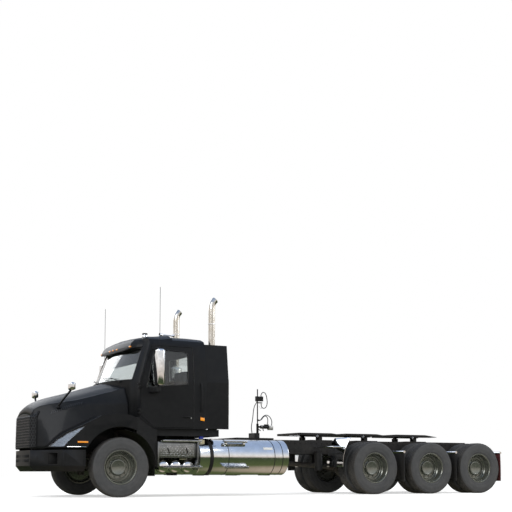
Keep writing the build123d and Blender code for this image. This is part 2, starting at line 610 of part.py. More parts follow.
def arch_fairing():
    """Rear quarter of the left front arch, below the cab: liner, splash guard and outer skin."""
    far = REAR_ARCH_R + FAIRING_T
    span = (RAIL_Y + 15, CAB_HALF - 10)
    liner = rod(far, (0, span[0], TYRE_R), (0, span[1], TYRE_R)) - rod(REAR_ARCH_R, (0, 0, TYRE_R), (0, 2000, TYRE_R))
    under_cowl = box((FAIRING_FRONT, COWL_X - 85), (span[0], CAB_HALF - 110), (TYRE_R, HEEL_Z))
    liner &= box((-far, FAIRING_FRONT), span, (TYRE_R, HEEL_Z)) + under_cowl
    liner += box((-far, -REAR_ARCH_R), (span[0], 1120), (368, TYRE_R))
    skin = prism_y([(FAIRING_FRONT, HEEL_Z - 6), (HEEL_X[0] - 6, HEEL_Z - 6), (HEEL_X[1] - 6, CAB_FLOOR - 7), (-far, CAB_FLOOR - 7),
                    (-far, TYRE_R), (0, TYRE_R), (FAIRING_FRONT, 1000)], span[1] - FAIRING_T, span[1])
    skin -= rod(REAR_ARCH_R, (0, 0, TYRE_R), (0, 2000, TYRE_R))
    web = box((-far, HEEL_X[1] - 12), (1100, span[1]), (SKIRT_BOTTOM, CAB_FLOOR - 7))
    return liner + skin + web


def side_panels():
    outer = [(CAB_HALF, CAB_FLOOR + 8), (CAB_HALF, BELT_Z), (CAB_TOP_HALF, EAVES_Z)]
    section = outer + [(y - SIDE_PANEL_T, z) for y, z in reversed(outer)]
    panel = prism_x(section, SIDE_PANEL_REAR, CAB_REAR - RUN_GAP)
    panel += box((SKIRT_REAR + 60, SKIRT_REAR + 100), (1080, CAB_HALF - 5), (CAB_FLOOR, CAB_FLOOR + 30))
    save("side_panels", *both_sides(panel))


VISOR_LIP = (-255.0, 2630.0)
# how far each point of the visor's skin lies behind the lip and above it, at the middle
VISOR_PROFILE = ((0, 0), (8, 58), (45, 135), (98, 197), (178, 240), (395, 283), (745, 330))
# distance from the middle, how far the lip falls back, how far it rises, how far the rear falls
VISOR_SECTIONS = ((0, 0, 0, 0), (450, 13, 5, 14), (750, 45, 20, 34), (870, 135, 40, 52), (960, 245, 56, 78),
                  (1060, 375, 75, 125))
BEACON_X = -898.0
BEACON_R = 50.0


def visor_section(y, back, rise, fall):
    """One section of the visor: its skin, closed by a line that runs inside the cab."""
    reach, height = VISOR_PROFILE[-1]
    points = []
    for behind, above in VISOR_PROFILE:
        x = VISOR_LIP[0] - behind - back * (1 - behind / reach)
        z = VISOR_LIP[1] + above + rise * (1 - above / height) - fall * above / height
        points.append((x, y, z))
    rear = points[-1]
    points.append((rear[0], y, rear[2] - 150))
    return make_face(Polyline(*points, close=True))


def roof_pieces():
    left = [visor_section(*row) for row in reversed(VISOR_SECTIONS)]
    right = [visor_section(-y, back, rise, fall) for y, back, rise, fall in VISOR_SECTIONS[1:]]
    cap = loft(left + right, ruled=True)
    beacon = rod(BEACON_R, (BEACON_X, 0, CROWN_Z - 100), (BEACON_X, 0, CROWN_Z + 90))
    save("roof_visor", (cap + beacon) - cab_body(-RUN_GAP))


def stacks():
    tip = STACK_TOP - 190
    pieces = rod(STACK_R, (STACK_X, STACK_Y, CAB_FLOOR + 5), (STACK_X, STACK_Y, tip))
    bend = Wire([Line((STACK_X, STACK_Y, tip), (STACK_X, STACK_Y, tip + 1)).edge(),
                 ThreePointArc((STACK_X, STACK_Y, tip + 1), (STACK_X - 20, STACK_Y, tip + 100), (STACK_X - 75, STACK_Y, tip + 180)).edge()])
    pieces += sweep(Plane(origin=(STACK_X, STACK_Y, tip), z_dir=(0, 0, 1)) * Circle(STACK_R), path=bend)
    pieces += rod(MUFFLER_R, (STACK_X, STACK_Y, 1290), (STACK_X, STACK_Y, 2500))
    pieces += box((STACK_X - 70, STACK_X + 90), (STACK_Y - 90, STACK_Y + 90), (CAB_FLOOR, CAB_FLOOR + 12))
    save("exhaust_stacks", *both_sides(pieces))


# ---- mirrors ------------------------------------------------------------------------------
def door_mirror():
    head = box((-662, -538), (1300, 1545), (1945, 2585))
    arms = box((-615, -585), (1100, 1420), (2600, 2625)) + rod(13, (-600, 1420, 2570), (-600, 1420, 2625))
    bracket = prism_z([(-500, CAB_HALF - 15), (-680, CAB_HALF - 15), (-630, 1420), (-560, 1420)], 1830, 1930)
    bracket += rod(13, (-600, 1420, 1900), (-600, 1420, 1960))
    mast = rod(9, (-612, 1423, 2610), (-612, 1423, 3700))
    return (head + arms + bracket + mast) - cab_body(-RUN_GAP)


# ---- tanks, boxes and steps ---------------------------------------------------------------
def tanks():
    body = rod(TANK_R, (TANK_FRONT, TANK_Y, TANK_Z), (TANK_REAR, TANK_Y, TANK_Z))
    body = fillet(body.edges().filter_by(GeomType.CIRCLE), 45)
    for x, wide in ((-1744, 34), (-2087, 8), (-3045, 8), (-3216, 8)):
        body += rod(TANK_R + 6, (x + wide, TANK_Y, TANK_Z), (x - wide, TANK_Y, TANK_Z))
    body += box((-2010, -2480), (1090, 1180), (990, 1006)) + box((-2040, -2080), (1090, 1150), (930, 990)) + box((-2410, -2450), (1090, 1150), (930, 990))
    body += box((-1976, -2467), (1180, 1268), (520, 545))
    body += box((-2000, -2030), (1150, 1200), (520, 545)) + rod(45, (-1900, 860, 1000), (-1900, 860, 1052))
    cradles = []
    for x in (-1744, -2430, -3130):
        cradle = box((x - 30, x + 30), (RAIL_Y, 800), (372, 860)) - rod(TANK_R + 6 + RUN_GAP, (x + 40, TANK_Y, TANK_Z), (x - 40, TANK_Y, TANK_Z))
        cradles.append(cradle)
    filler = box((-1640, -1535), (980, 1120), (940, 1030)) + rod(45, (-1585, 1060, 1030), (-1585, 1060, 1062))
    body += filler
    save("fuel_tanks", *both_sides(body))
    return both_sides(*cradles)


def side_boxes():
    boxes = box((-1440, -690), (840, 1195), (690, 965)) + box((-1440, -690), (RAIL_Y, 845), (800, 960))
    boxes += box((-1526, -770), (1095, 1250), (990, 1005)) + box((-800, -770), (1100, 1160), (960, 995)) + box((-1440, -1400), (1100, 1160), (960, 995))
    boxes += box((-1526, -769), (1185, 1262), (522, 545)) + box((-1462, -1441), (900, 1240), (480, 990))
    boxes += box((-700, -672), (900, 1240), (520, 970)) + box((-800, -672), (1185, 1240), (522, 545)) + box((-1462, -1441), (1185, 1240), (522, 545))
    save("tool_boxes", *both_sides(boxes))
    bottles = []
    for x in (-845, -1085, -1325):
        bottle = rod(116, (x, 560, 543), (x, 1125, 543))
        bottle = fillet(bottle.edges().filter_by(GeomType.CIRCLE), 60)
        bottles.append(bottle + box((x - 30, x + 30), (600, 640), (640, 800)) + box((x - 30, x + 30), (RAIL_Y, 640), (770, 798)))
    save("air_tanks", *both_sides(*bottles))


# ---- deck, mast and hoses -----------------------------------------------------------------
HOSE_R = 8.0
MANIFOLD_TOP = 1204.0
MAST_X = -3322.0
MAST_R = 11.0
CLAMP_X = (-3436.0, -3286.0)
CLAMP_Z = (1843.0, 1938.0)
PEG_Z = (1802.0, 1822.0)
OUTLET_X = -3352.0
OUTLET_Z = 1462.0
DARK_TOP = 1384.0        # head that the inner hose runs into
PALE_TOP = 1362.0        # and the outer one's
SUPPLY = ((-3197, 0, MANIFOLD_TOP + RUN_GAP), (-3197, 0, 1232), (-3187, 0, 1272), (-3185, 0, 1330), (-3195, 0, 1395),
          (-3209, 0, 1460), (-3219, 0, 1530), (-3226, 0, 1605), (-3236, 0, 1675), (-3250, 0, 1730), (-3270, 0, 1772),
          (-3290, 0, 1796), (-3301, 0, 1816), (-3301, 0, CLAMP_Z[0] - RUN_GAP))
UPPER = ((-3402, 0, CLAMP_Z[1] + RUN_GAP), (-3402, 0, 1960), (-3411, -4, 1986), (-3432, -12, 2012), (-3468, -26, 2029),
         (-3508, -40, 2022), (-3540, -50, 1992), (-3560, -57, 1946), (-3572, -60, 1888), (-3576, -58, 1828),
         (-3565, -52, 1776), (-3540, -43, 1734), (-3502, -31, 1709), (-3460, -18, 1704), (-3426, -8, 1722),
         (-3410, -2, 1752), (-3407, 0, 1778), (-3407, 0, PEG_Z[0] - RUN_GAP))
OUTER = ((OUTLET_X - RUN_GAP, -14, OUTLET_Z), (-3372, -14, OUTLET_Z), (-3396, -15, 1471), (-3420, -17, 1493), (-3448, -21, 1530),
         (-3494, -27, 1564), (-3550, -32, 1574), (-3606, -34, 1552), (-3644, -32, 1508), (-3664, -26, 1452),
         (-3658, -17, 1408), (-3650, -12, 1384), (-3650, -12, PALE_TOP + RUN_GAP))
INNER = ((OUTLET_X - RUN_GAP, 14, OUTLET_Z), (-3372, 14, OUTLET_Z), (-3396, 15, 1471), (-3418, 17, 1493), (-3440, 21, 1526),
         (-3468, 24, 1547), (-3502, 25, 1548), (-3529, 22, 1528), (-3545, 18, 1492), (-3551, 14, 1450),
         (-3545, 10, 1412), (-3545, 10, DARK_TOP + RUN_GAP))


def hose(points):
    runs = [math.dist(a, b) for a, b in zip(points, points[1:])]
    radii = []
    for i in range(1, len(points) - 1):
        turn = math.radians((Vector(*points[i]) - Vector(*points[i - 1])).get_angle(Vector(*points[i + 1]) - Vector(*points[i])))
        radii.append(0.45 * min(runs[i - 1], runs[i]) / math.tan(turn / 2))
    path = FilletPolyline(*points, radius=radii)
    start = Plane(origin=points[0], z_dir=Vector(*points[1]) - Vector(*points[0]))
    print("hose length", round(path.length), "tightest", round(min(radii)))
    return sweep(start * Circle(HOSE_R), path=path)


def hose_stand():
    """Deck plate, manifold and a mast that carries the clamp, the outlets and two parked hose heads."""
    top = RAIL_TOP + 30
    stand = box((-2640, -3450), (-RAIL_Y, RAIL_Y), (RAIL_TOP, top))
    stand += rod(MAST_R, (MAST_X, 0, top), (MAST_X, 0, 2083)) + rod(24, (MAST_X, 0, top), (MAST_X, 0, 1394))
    stand += box((-3304, -3187), (-120, 120), (top, MANIFOLD_TOP)) + box(CLAMP_X, (-32, 32), CLAMP_Z)
    stand += box((-3425, MAST_X), (-14, 14), PEG_Z) + box((OUTLET_X, MAST_X), (-26, 26), (OUTLET_Z - 15, OUTLET_Z + 15))
    stand += rod(34, (-3393, 4, 1330), (-3572, 4, 1330)) + box((-3562, -3480), (-22, 30), (1315, DARK_TOP))
    stand += box((-3400, MAST_X), (-12, 12), (1312, 1350)) + box((-3670, -3564), (-38, 16), (1275, PALE_TOP))
    stand += rod(9, (MAST_X, 0, 1300), (-3393, 0, 1255)) + rod(9, (-3440, 0, 1310), (-3457, 0, 1252))
    save("hose_stand", stand)


# ---- fifth-wheel plates -------------------------------------------------------------------
def coupling_plates():
    seats = []
    for number, front in enumerate(PLATE_FRONTS, start=1):
        rear = front - PLATE_LEN
        pin_x = (front + rear) / 2
        throat = pin_x - 40
        under = PLATE_TOP - PLATE_T
        plate = box((front, rear), (-PLATE_HALF, PLATE_HALF), (under, PLATE_TOP))
        slope = [(rear + 300, PLATE_TOP + 1), (rear - 1, PLATE_TOP + 1), (rear - 1, PLATE_TOP - 38), (rear + 300, PLATE_TOP)]
        plate -= prism_y(slope, -PLATE_HALF - 1, PLATE_HALF + 1)
        plate -= prism_z([(rear - 1, -190), (throat - 90, -45), (throat - 90, 45), (rear - 1, 190)], under - 1, PLATE_TOP + 1)
        plate -= rod(KINGPIN_BORE_R, (throat, 0, under - 1), (throat, 0, PLATE_TOP + 1))
        for y in (330, -330):
            plate += box((pin_x - 34, pin_x + 34), (y - 30, y + 30), (TILT_Z, under))
            plate += rod(34, (pin_x, y - 30, TILT_Z), (pin_x, y + 30, TILT_Z))
        plate -= rod(TILT_PIN_R + RUN_GAP, (pin_x, -400, TILT_Z), (pin_x, 400, TILT_Z))
        save(f"coupling_plate_{number}", plate)
        foot = box((pin_x - 260, pin_x + 260), (-RAIL_Y, RAIL_Y), (RAIL_TOP, RAIL_TOP + 12))
        for y in (330, -330):
            for inner in (y - 62, y + 36):
                foot += box((pin_x - 40, pin_x + 40), (inner, inner + 26), (RAIL_TOP + 12, TILT_Z + 30))
            foot += rod(TILT_PIN_R, (pin_x, y - 62, TILT_Z), (pin_x, y + 62, TILT_Z))
        seats.append(foot)
    save("coupling_seats", *seats)


# ---- rear fenders and flaps ---------------------------------------------------------------
def guards():
    arc = Wire([ThreePointArc((-4580, 1165, 540), (-4630, 1165, 860), (-4770, 1165, 1112)).edge()])
    inner = Wire([ThreePointArc((-4586, 1165, 540), (-4636, 1165, 860), (-4774, 1165, 1106)).edge()])
    ends = [Line((-4580, 1165, 540), (-4586, 1165, 540)), Line((-4770, 1165, 1112), (-4774, 1165, 1106))]
    sheet = extrude(make_face([arc.edge(), inner.edge(), *[end.edge() for end in ends]]), amount=585, dir=(0, -1, 0))
    stay = rod(14, (-4400, 1110, 925), (-4656, 1110, 925)) + rod(14, (-4400, RAIL_Y, 925), (-4400, 1112, 925))
    save("quarter_fenders", *both_sides(sheet + stay))
    bars = []
    flaps = []
    for x in FLAP_XS:
        bar = rod(25, (x, RAIL_Y if x > RAIL_REAR else 0, 840), (x, 1185, 840))
        if x < RAIL_REAR:
            bar += box((x, RAIL_REAR + 90), (RAIL_Y - RAIL_T - 35, RAIL_Y - RAIL_T - RUN_GAP), (815, 865))
            bar += other_side(bar)
            bars.append(bar)
        else:
            bars += both_sides(bar)
        flaps += both_sides(box((x - 8, x + 4), (605, 1170), (250, 820)) - rod(25, (x, 500, 840), (x, 1200, 840)))
    save("flap_bars", *bars)
    save("mudflaps", *flaps)


FOG_X = 1010.0
FOG_Y = 885.0


# ---- build --------------------------------------------------------------------------------
wheels()
front_axle()
left_knuckle = knuckle()
save("knuckle_left", left_knuckle)
save("knuckle_right", other_side(left_knuckle))
frame(tanks())
drive_axles()
rear_suspension()
driveline()
bumper()
hood()
save("hood_mirrors", *both_sides(hood_mirror()))
cab()
cab_underframe()
side_panels()
roof_pieces()
stacks()
left_mirror = door_mirror()
save("mirror_left", left_mirror)
save("mirror_right", other_side(left_mirror))
side_boxes()
hose_stand()
for name, route in (("supply", SUPPLY), ("upper", UPPER), ("outer", OUTER), ("inner", INNER)):
    save(f"hose_{name}", hose(route))
coupling_plates()
guards()
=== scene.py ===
import json
import math

import bmesh
import bpy
from mathutils import Matrix, Vector
from mathutils.bvhtree import BVHTree

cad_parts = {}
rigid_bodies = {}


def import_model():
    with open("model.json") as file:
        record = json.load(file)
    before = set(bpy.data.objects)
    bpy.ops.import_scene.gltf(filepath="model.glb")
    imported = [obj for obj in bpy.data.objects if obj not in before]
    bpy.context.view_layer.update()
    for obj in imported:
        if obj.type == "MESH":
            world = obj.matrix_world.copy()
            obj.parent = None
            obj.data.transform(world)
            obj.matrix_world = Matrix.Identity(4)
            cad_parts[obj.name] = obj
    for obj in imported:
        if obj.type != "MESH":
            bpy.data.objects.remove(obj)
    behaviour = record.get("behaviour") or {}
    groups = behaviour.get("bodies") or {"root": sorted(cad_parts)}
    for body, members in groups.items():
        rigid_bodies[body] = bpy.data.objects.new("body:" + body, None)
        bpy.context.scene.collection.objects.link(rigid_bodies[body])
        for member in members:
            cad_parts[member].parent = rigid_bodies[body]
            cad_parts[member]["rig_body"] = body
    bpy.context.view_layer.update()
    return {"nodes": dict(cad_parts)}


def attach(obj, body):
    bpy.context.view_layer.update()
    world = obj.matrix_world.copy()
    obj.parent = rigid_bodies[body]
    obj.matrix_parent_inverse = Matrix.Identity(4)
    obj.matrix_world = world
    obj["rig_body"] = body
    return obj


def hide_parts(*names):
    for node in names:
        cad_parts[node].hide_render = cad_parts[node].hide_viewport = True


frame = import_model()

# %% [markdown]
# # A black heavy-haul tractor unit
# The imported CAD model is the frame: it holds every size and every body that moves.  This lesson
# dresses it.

AXLE_TO_MIDDLE = 3.570       # the front axle lies this far ahead of the model's middle

# %% [markdown]
# Lengths along the vehicle are easiest to read from the front axle, so every helper takes such
# stations in metres and one function moves them to the model's own origin.

# %% Stations
def row(point):
    """A point given from the front axle, in the model's frame."""
    return Vector((point[0] + AXLE_TO_MIDDLE, point[1], point[2]))


SIDES = (("left", 1), ("right", -1))
DRIVE_STATIONS = (-5.350, -6.720, -7.970)
AXLE_Z = 0.520
print("front axle at", tuple(round(v, 3) for v in row((0, 0, AXLE_Z))))

# %% [markdown]
# ## Camera
# A long lens stands low beside the front corner, level with a person's knee.  It looks up a little,
# and a small shift lifts the rest, so that upright edges stay upright.

# %% Camera
CAMERA_PLACE = (6.361, 18.13, 0.443)
HEADING = (-0.470, -0.883)
PITCH = math.radians(6.275)
collect = bpy.context.scene.collection.objects.link
camera_data = bpy.data.cameras.new("camera")
camera_data.sensor_width = 36.0
camera_data.lens = 72.51
camera_data.shift_y = 0.20
camera_data.clip_end = 200.0
camera = bpy.data.objects.new("camera", camera_data)
collect(camera)
look = Vector((HEADING[0] * math.cos(PITCH), HEADING[1] * math.cos(PITCH), math.sin(PITCH)))
camera.location = row(CAMERA_PLACE)
camera.rotation_euler = look.to_track_quat("-Z", "Y").to_euler()
bpy.context.scene.camera = camera
print("camera at", tuple(round(v, 2) for v in camera.location))

# %% [markdown]
# ## Node helpers
# Shaders, the sky and the repeats are all node trees.  These three helpers add a node with its
# values and sockets in one call, add one sum, and join what is left.

# %% Node helpers
def node(tree, kind, *feeds, **values):
    """Add a node: feeds go to its inputs in order, capitals name inputs, small letters name properties."""
    made = tree.nodes.new(kind)
    for name, value in values.items():
        if name[0].islower():
            setattr(made, name, value)
    inputs = {name.replace("_", " "): value for name, value in values.items() if name[0].isupper()}
    for key, value in [*enumerate(feeds), *inputs.items()]:
        if isinstance(value, bpy.types.NodeSocket):
            tree.links.new(value, made.inputs[key])
        else:
            made.inputs[key].default_value = value
    return made


def maths(tree, operation, *feeds):
    """The result of one Math node."""
    return node(tree, "ShaderNodeMath", *feeds, operation=operation).outputs[0]


def link(tree, *pairs):
    """Join sockets, each pair from an output to an input."""
    for a, b in pairs:
        tree.links.new(a, b)


print("node helpers ready")

# %% [markdown]
# ## Light
# The sky is plain and soft.  The camera and the glass see it white.  Polished metal sees pale ground,
# a dark line of trees, a white horizon and a little blue overhead.  What lights the paint is weaker.

# %% World
bpy.context.scene.view_settings.view_transform = "Standard"
SKY_LIGHT = 0.62
SKY_TINT = (0.93, 0.96, 1.0, 1)
WHITE_LIGHT = (1, 1, 1, 1)
# share of the way up from straight down, colour
SKY_STOPS = ((0.0, (0.55, 0.47, 0.38)), (0.05, (0.44, 0.36, 0.27)), (0.13, (0.10, 0.125, 0.05)),
             (0.49, (0.05, 0.07, 0.035)), (0.51, (0.80, 0.70, 0.62)), (0.60, (0.95, 0.94, 0.93)),
             (0.78, (0.50, 0.61, 0.82)), (1.0, (0.34, 0.45, 0.68)))
world = bpy.data.worlds.new("soft sky")
bpy.context.scene.world = world
world.use_nodes = True
sky = world.node_tree
sky.nodes.clear()
height = node(sky, "ShaderNodeSeparateXYZ", node(sky, "ShaderNodeTexCoord").outputs["Generated"]).outputs["Z"]
ramp = node(sky, "ShaderNodeValToRGB", maths(sky, "MULTIPLY_ADD", height, 0.5, 0.5))
stops = ramp.color_ramp.elements
stops.remove(stops[1])
for place, shade in SKY_STOPS[1:]:
    stops.new(place).color = (*shade, 1)
stops[0].position = 0.0
stops[0].color = (*SKY_STOPS[0][1], 1)
rays = node(sky, "ShaderNodeLightPath").outputs
clear = maths(sky, "MAXIMUM", rays["Is Camera Ray"], rays["Is Transmission Ray"])
seen = maths(sky, "MAXIMUM", clear, rays["Is Glossy Ray"])
whitened = node(sky, "ShaderNodeMix", data_type="RGBA", Factor=clear, A=ramp.outputs["Color"],
                B=WHITE_LIGHT)
plain = node(sky, "ShaderNodeBackground", SKY_TINT, SKY_LIGHT)
shown = node(sky, "ShaderNodeBackground", whitened.outputs["Result"], 1.0)
mixed = node(sky, "ShaderNodeMixShader", seen, plain.outputs[0], shown.outputs[0])
node(sky, "ShaderNodeOutputWorld", mixed.outputs[0])
print("sky light", SKY_LIGHT)

# %% [markdown]
# Three broad area lamps give the glossy paint its long highlights.  They stand far off and high, so
# their light is soft, and they are large, so their reflections run along whole panels.

# %% Lamps
# name, place, width, power
LAMPS = (("key", (9.0, 9.0, 10.0), 7.0, 900.0), ("rear", (-14.0, 7.0, 8.0), 6.0, 520.0),
         ("far", (1.0, -12.0, 9.0), 7.0, 420.0))
LAMP_TARGET = (-3.5, 0, 1.2)
for lamp_name, place, width, power in LAMPS:
    lamp_data = bpy.data.lights.new(lamp_name, "AREA")
    lamp_data.size = width
    lamp_data.energy = power
    lamp = bpy.data.objects.new(lamp_name, lamp_data)
    collect(lamp)
    lamp.location = row(place)
    lamp.rotation_euler = (row(LAMP_TARGET) - lamp.location).to_track_quat("-Z", "Y").to_euler()
print(len(LAMPS), "area lamps")

# %% [markdown]
# ## Floor
# One wide pale sheet takes the vehicle's shadow.  To the camera it is as bright as the sky behind it
# where no shadow falls, so its edge doesn't show.

# %% Floor
FLOOR_HALF = 60.0
FLOOR_GLOW = 0.52
floor_mesh = bpy.data.meshes.new("floor")
corners = [(FLOOR_HALF * x, FLOOR_HALF * y, 0) for x, y in ((-1, -1), (1, -1), (1, 1), (-1, 1))]
floor_mesh.from_pydata(corners, [], [(0, 1, 2, 3)])
floor = bpy.data.objects.new("floor", floor_mesh)
collect(floor)
floor.visible_glossy = False
floor_look = bpy.data.materials.new("pale floor")
floor_look.use_nodes = True
tree = floor_look.node_tree
surface = tree.nodes["Principled BSDF"]
FLOOR_LOOK = (("Base Color", (0.88, 0.87, 0.85, 1)), ("Roughness", 0.9), ("Specular IOR Level", 0.1))
for label, value in FLOOR_LOOK:
    surface.inputs[label].default_value = value
glow = node(tree, "ShaderNodeEmission", WHITE_LIGHT, FLOOR_GLOW)
lit = node(tree, "ShaderNodeAddShader", surface.outputs[0], glow.outputs[0])
to_camera = node(tree, "ShaderNodeLightPath").outputs["Is Camera Ray"]
pick = node(tree, "ShaderNodeMixShader", to_camera, surface.outputs[0], lit.outputs[0])
link(tree, (pick.outputs[0], tree.nodes["Material Output"].inputs[0]))
floor_mesh.materials.append(floor_look)
print("floor", 2 * FLOOR_HALF, "m wide")

# %% [markdown]
# ## Effects that finishes share
# Road dust, fine scratches and grain turn up on many finishes.  Each is a node group, built once,
# with its values as named inputs.

# %% A helper for node groups
def effect(name, inputs, outputs):
    """An empty shader group with named inputs and outputs, and the sockets at its two ends."""
    group = bpy.data.node_groups.new(name, "ShaderNodeTree")
    for label, value in inputs:
        socket = group.interface.new_socket(label, in_out="INPUT", socket_type="NodeSocketFloat")
        socket.default_value = value
    for label in outputs:
        group.interface.new_socket(label, in_out="OUTPUT", socket_type="NodeSocketFloat")
    return group, group.nodes.new("NodeGroupInput").outputs, group.nodes.new("NodeGroupOutput").inputs


def noise(tree, place, scale, detail, rough=0.5):
    """A cloudy value that changes over the surface."""
    made = node(tree, "ShaderNodeTexNoise", Vector=place, Scale=scale, Detail=detail, Roughness=rough)
    return made.outputs["Fac"]


def spread(tree, value, low, high, to_low=0.0, to_high=1.0):
    """A value carried from one range to another."""
    ends = {"From Min": low, "From Max": high, "To Min": to_low, "To Max": to_high}
    return node(tree, "ShaderNodeMapRange", value, **ends).outputs[0]


print("node groups are built next")

# %% [markdown]
# Dust gathers low down and in patches.  Two noises of different size are multiplied, and the mask
# fades out with height above the road, which in Object coordinates is simply Z.

# %% Effect: road dust
dust, given, result = effect("Road dust", (("Patch Scale", 3.0), ("Top", 1.4), ("Amount", 0.5)), ("Mask",))
place = node(dust, "ShaderNodeTexCoord").outputs["Object"]
fade = spread(dust, node(dust, "ShaderNodeSeparateXYZ", place).outputs["Z"], 0.05, given["Top"], 1.0, 0.12)
patches = spread(dust, noise(dust, place, given["Patch Scale"], 8.0, 0.62), 0.36, 0.68)
specks = spread(dust, noise(dust, place, 140.0, 3.0), 0.3, 0.72, 0.45, 1.0)
mask = maths(dust, "MULTIPLY", maths(dust, "MULTIPLY", fade, patches), specks)
link(dust, (maths(dust, "MULTIPLY", mask, given["Amount"]), result["Mask"]))
print("effect", dust.name)

# %% [markdown]
# Wiping leaves hair-fine scratches along a panel.  A noise squeezed hard in two directions makes
# them, and the same group offers it as a height for bump and as a value for roughness.

# %% Effect: brushed scratches
brush, given, result = effect("Brushed scratches", (("Across", 220.0), ("Along", 2.0), ("Low", 0.1),
                                                    ("High", 0.3)), ("Roughness", "Height"))
place = node(brush, "ShaderNodeTexCoord").outputs["Object"]
stretch = node(brush, "ShaderNodeCombineXYZ", given["Along"], given["Across"], given["Across"]).outputs[0]
squeezed = node(brush, "ShaderNodeVectorMath", place, stretch, operation="MULTIPLY").outputs[0]
hairs = noise(brush, squeezed, 1.0, 4.0, 0.6)
cloud = maths(brush, "MULTIPLY", noise(brush, place, 5.0, 4.0), 0.5)
mixed = maths(brush, "MULTIPLY_ADD", hairs, 0.5, cloud)
lines = spread(brush, mixed, 0.3, 0.7, given["Low"], given["High"])
link(brush, (lines, result["Roughness"]), (hairs, result["Height"]))
print("effect", brush.name)

# %% [markdown]
# Moulded plastic, cast iron and rubber all have a grain: small bumps of one size.  A Voronoi gives
# the cells and a noise breaks them up.

# %% Effect: grain
grain, given, result = effect("Grain", (("Cells", 900.0), ("Break Up", 0.5)), ("Height", "Mask"))
place = node(grain, "ShaderNodeTexCoord").outputs["Object"]
bumps = node(grain, "ShaderNodeTexVoronoi", Vector=place, Scale=given["Cells"]).outputs["Distance"]
cloud = noise(grain, place, 9.0, 6.0)
link(grain, (maths(grain, "MULTIPLY_ADD", cloud, given["Break Up"], bumps), result["Height"]),
     (spread(grain, cloud, 0.35, 0.65), result["Mask"]))
print("effect", grain.name)

# %% [markdown]
# ## Finishes
# A finish is one Principled shader.  Its colour goes from a clean to a dusty one by the dust mask,
# its roughness rises with the same mask, and a little bump carries the ripple, grain or scratches.

# %% A helper for finishes
DUST_COLOUR = (0.23, 0.20, 0.165, 1)
DUST_ROUGH = 0.85
COAT_ROUGH = 0.04
CLOUD_CELLS = 300.0          # the grain's own size where a finish has none
BUMP_HEIGHT = 0.001


def finish(name, colour, rough, metal=0.0, coat=0.0, dusty=0.0, top=1.4, ripple=0.0, cells=0.0,
           bump=0.0, brushed=None, second=None, glass=0.0, glow=0.0, specular=0.5):
    """A material with its own shader; every shared effect comes from a group."""
    look = bpy.data.materials.new(name)
    look.use_nodes = True
    tree = look.node_tree
    shader = tree.nodes["Principled BSDF"].inputs
    plain = {"Base Color": (*colour, 1), "Roughness": rough, "Metallic": metal, "Coat Weight": coat,
             "Coat Roughness": COAT_ROUGH, "Specular IOR Level": specular, "Transmission Weight": glass}
    if glow:
        plain |= {"Emission Color": (*colour, 1), "Emission Strength": glow}
    for label, value in plain.items():
        shader[label].default_value = value
    if glass:
        return look
    grime = node(tree, "ShaderNodeGroup", node_tree=dust, Amount=dusty, Top=top).outputs["Mask"]
    texture = node(tree, "ShaderNodeGroup", node_tree=grain, Cells=cells or CLOUD_CELLS).outputs
    second = (*(second or [0.75 * part for part in colour]), 1)
    clean = node(tree, "ShaderNodeMix", data_type="RGBA", Factor=texture["Mask"], A=(*colour, 1), B=second)
    tint = node(tree, "ShaderNodeMix", data_type="RGBA", Factor=grime, A=clean.outputs["Result"],
                B=DUST_COLOUR)
    relief = None
    if brushed:
        hairs = dict(zip(("Across", "Along", "Low", "High"), brushed))
        lines = node(tree, "ShaderNodeGroup", node_tree=brush, **hairs).outputs
        rough, relief = lines["Roughness"], lines["Height"]
    elif cells:
        relief = texture["Height"]
    elif ripple:
        relief = noise(tree, node(tree, "ShaderNodeTexCoord").outputs["Object"], ripple, 2.0)
    roughness = node(tree, "ShaderNodeMix", Factor=grime, A=rough, B=DUST_ROUGH)
    link(tree, (tint.outputs["Result"], shader["Base Color"]),
         (roughness.outputs["Result"], shader["Roughness"]))
    if relief:
        raised = node(tree, "ShaderNodeBump", Strength=bump, Distance=BUMP_HEIGHT, Height=relief)
        link(tree, (raised.outputs[0], shader["Normal"]))
    return look


print("the next cells make the finishes")

# %% Finishes: paint and plastic
BLACK = finish("gloss black paint", (0.0062, 0.0068, 0.0078), 0.46, coat=0.06, dusty=0.04, top=1.5,
               ripple=55.0, bump=0.03, second=(0.0085, 0.009, 0.0095), specular=0.16)
SATIN = finish("satin black chassis paint", (0.009, 0.009, 0.0095), 0.46, dusty=0.20, top=1.6, cells=260.0,
               bump=0.22, second=(0.014, 0.0135, 0.013), specular=0.22)
PLASTIC = finish("moulded black plastic", (0.009, 0.0093, 0.0098), 0.5, dusty=0.10, top=1.5, cells=1500.0,
                 bump=0.35, second=(0.012, 0.0123, 0.0128), specular=0.2)
MESH = finish("moulded mesh", (0.024, 0.025, 0.027), 0.38, cells=1500.0, bump=0.2,
              second=(0.03, 0.031, 0.033), specular=0.4)
# SHADOW is painted shade: a near-black finish laid where slots, holes and recesses would be dark with shade.
SHADOW = finish("flat black mesh backing", (0.004, 0.004, 0.004), 0.8, cells=600.0, bump=0.2)
TRIM = finish("cab trim", (0.115, 0.12, 0.125), 0.62, cells=1400.0, bump=0.4, second=(0.14, 0.145, 0.15))
LINING = finish("pale cab lining", (0.12, 0.12, 0.118), 0.85, cells=700.0, bump=0.4,
                second=(0.10, 0.10, 0.098))
CLOTH = finish("seat cloth", (0.085, 0.09, 0.10), 0.9, cells=420.0, bump=0.8, second=(0.06, 0.062, 0.068))
print("paint and plastic ready")

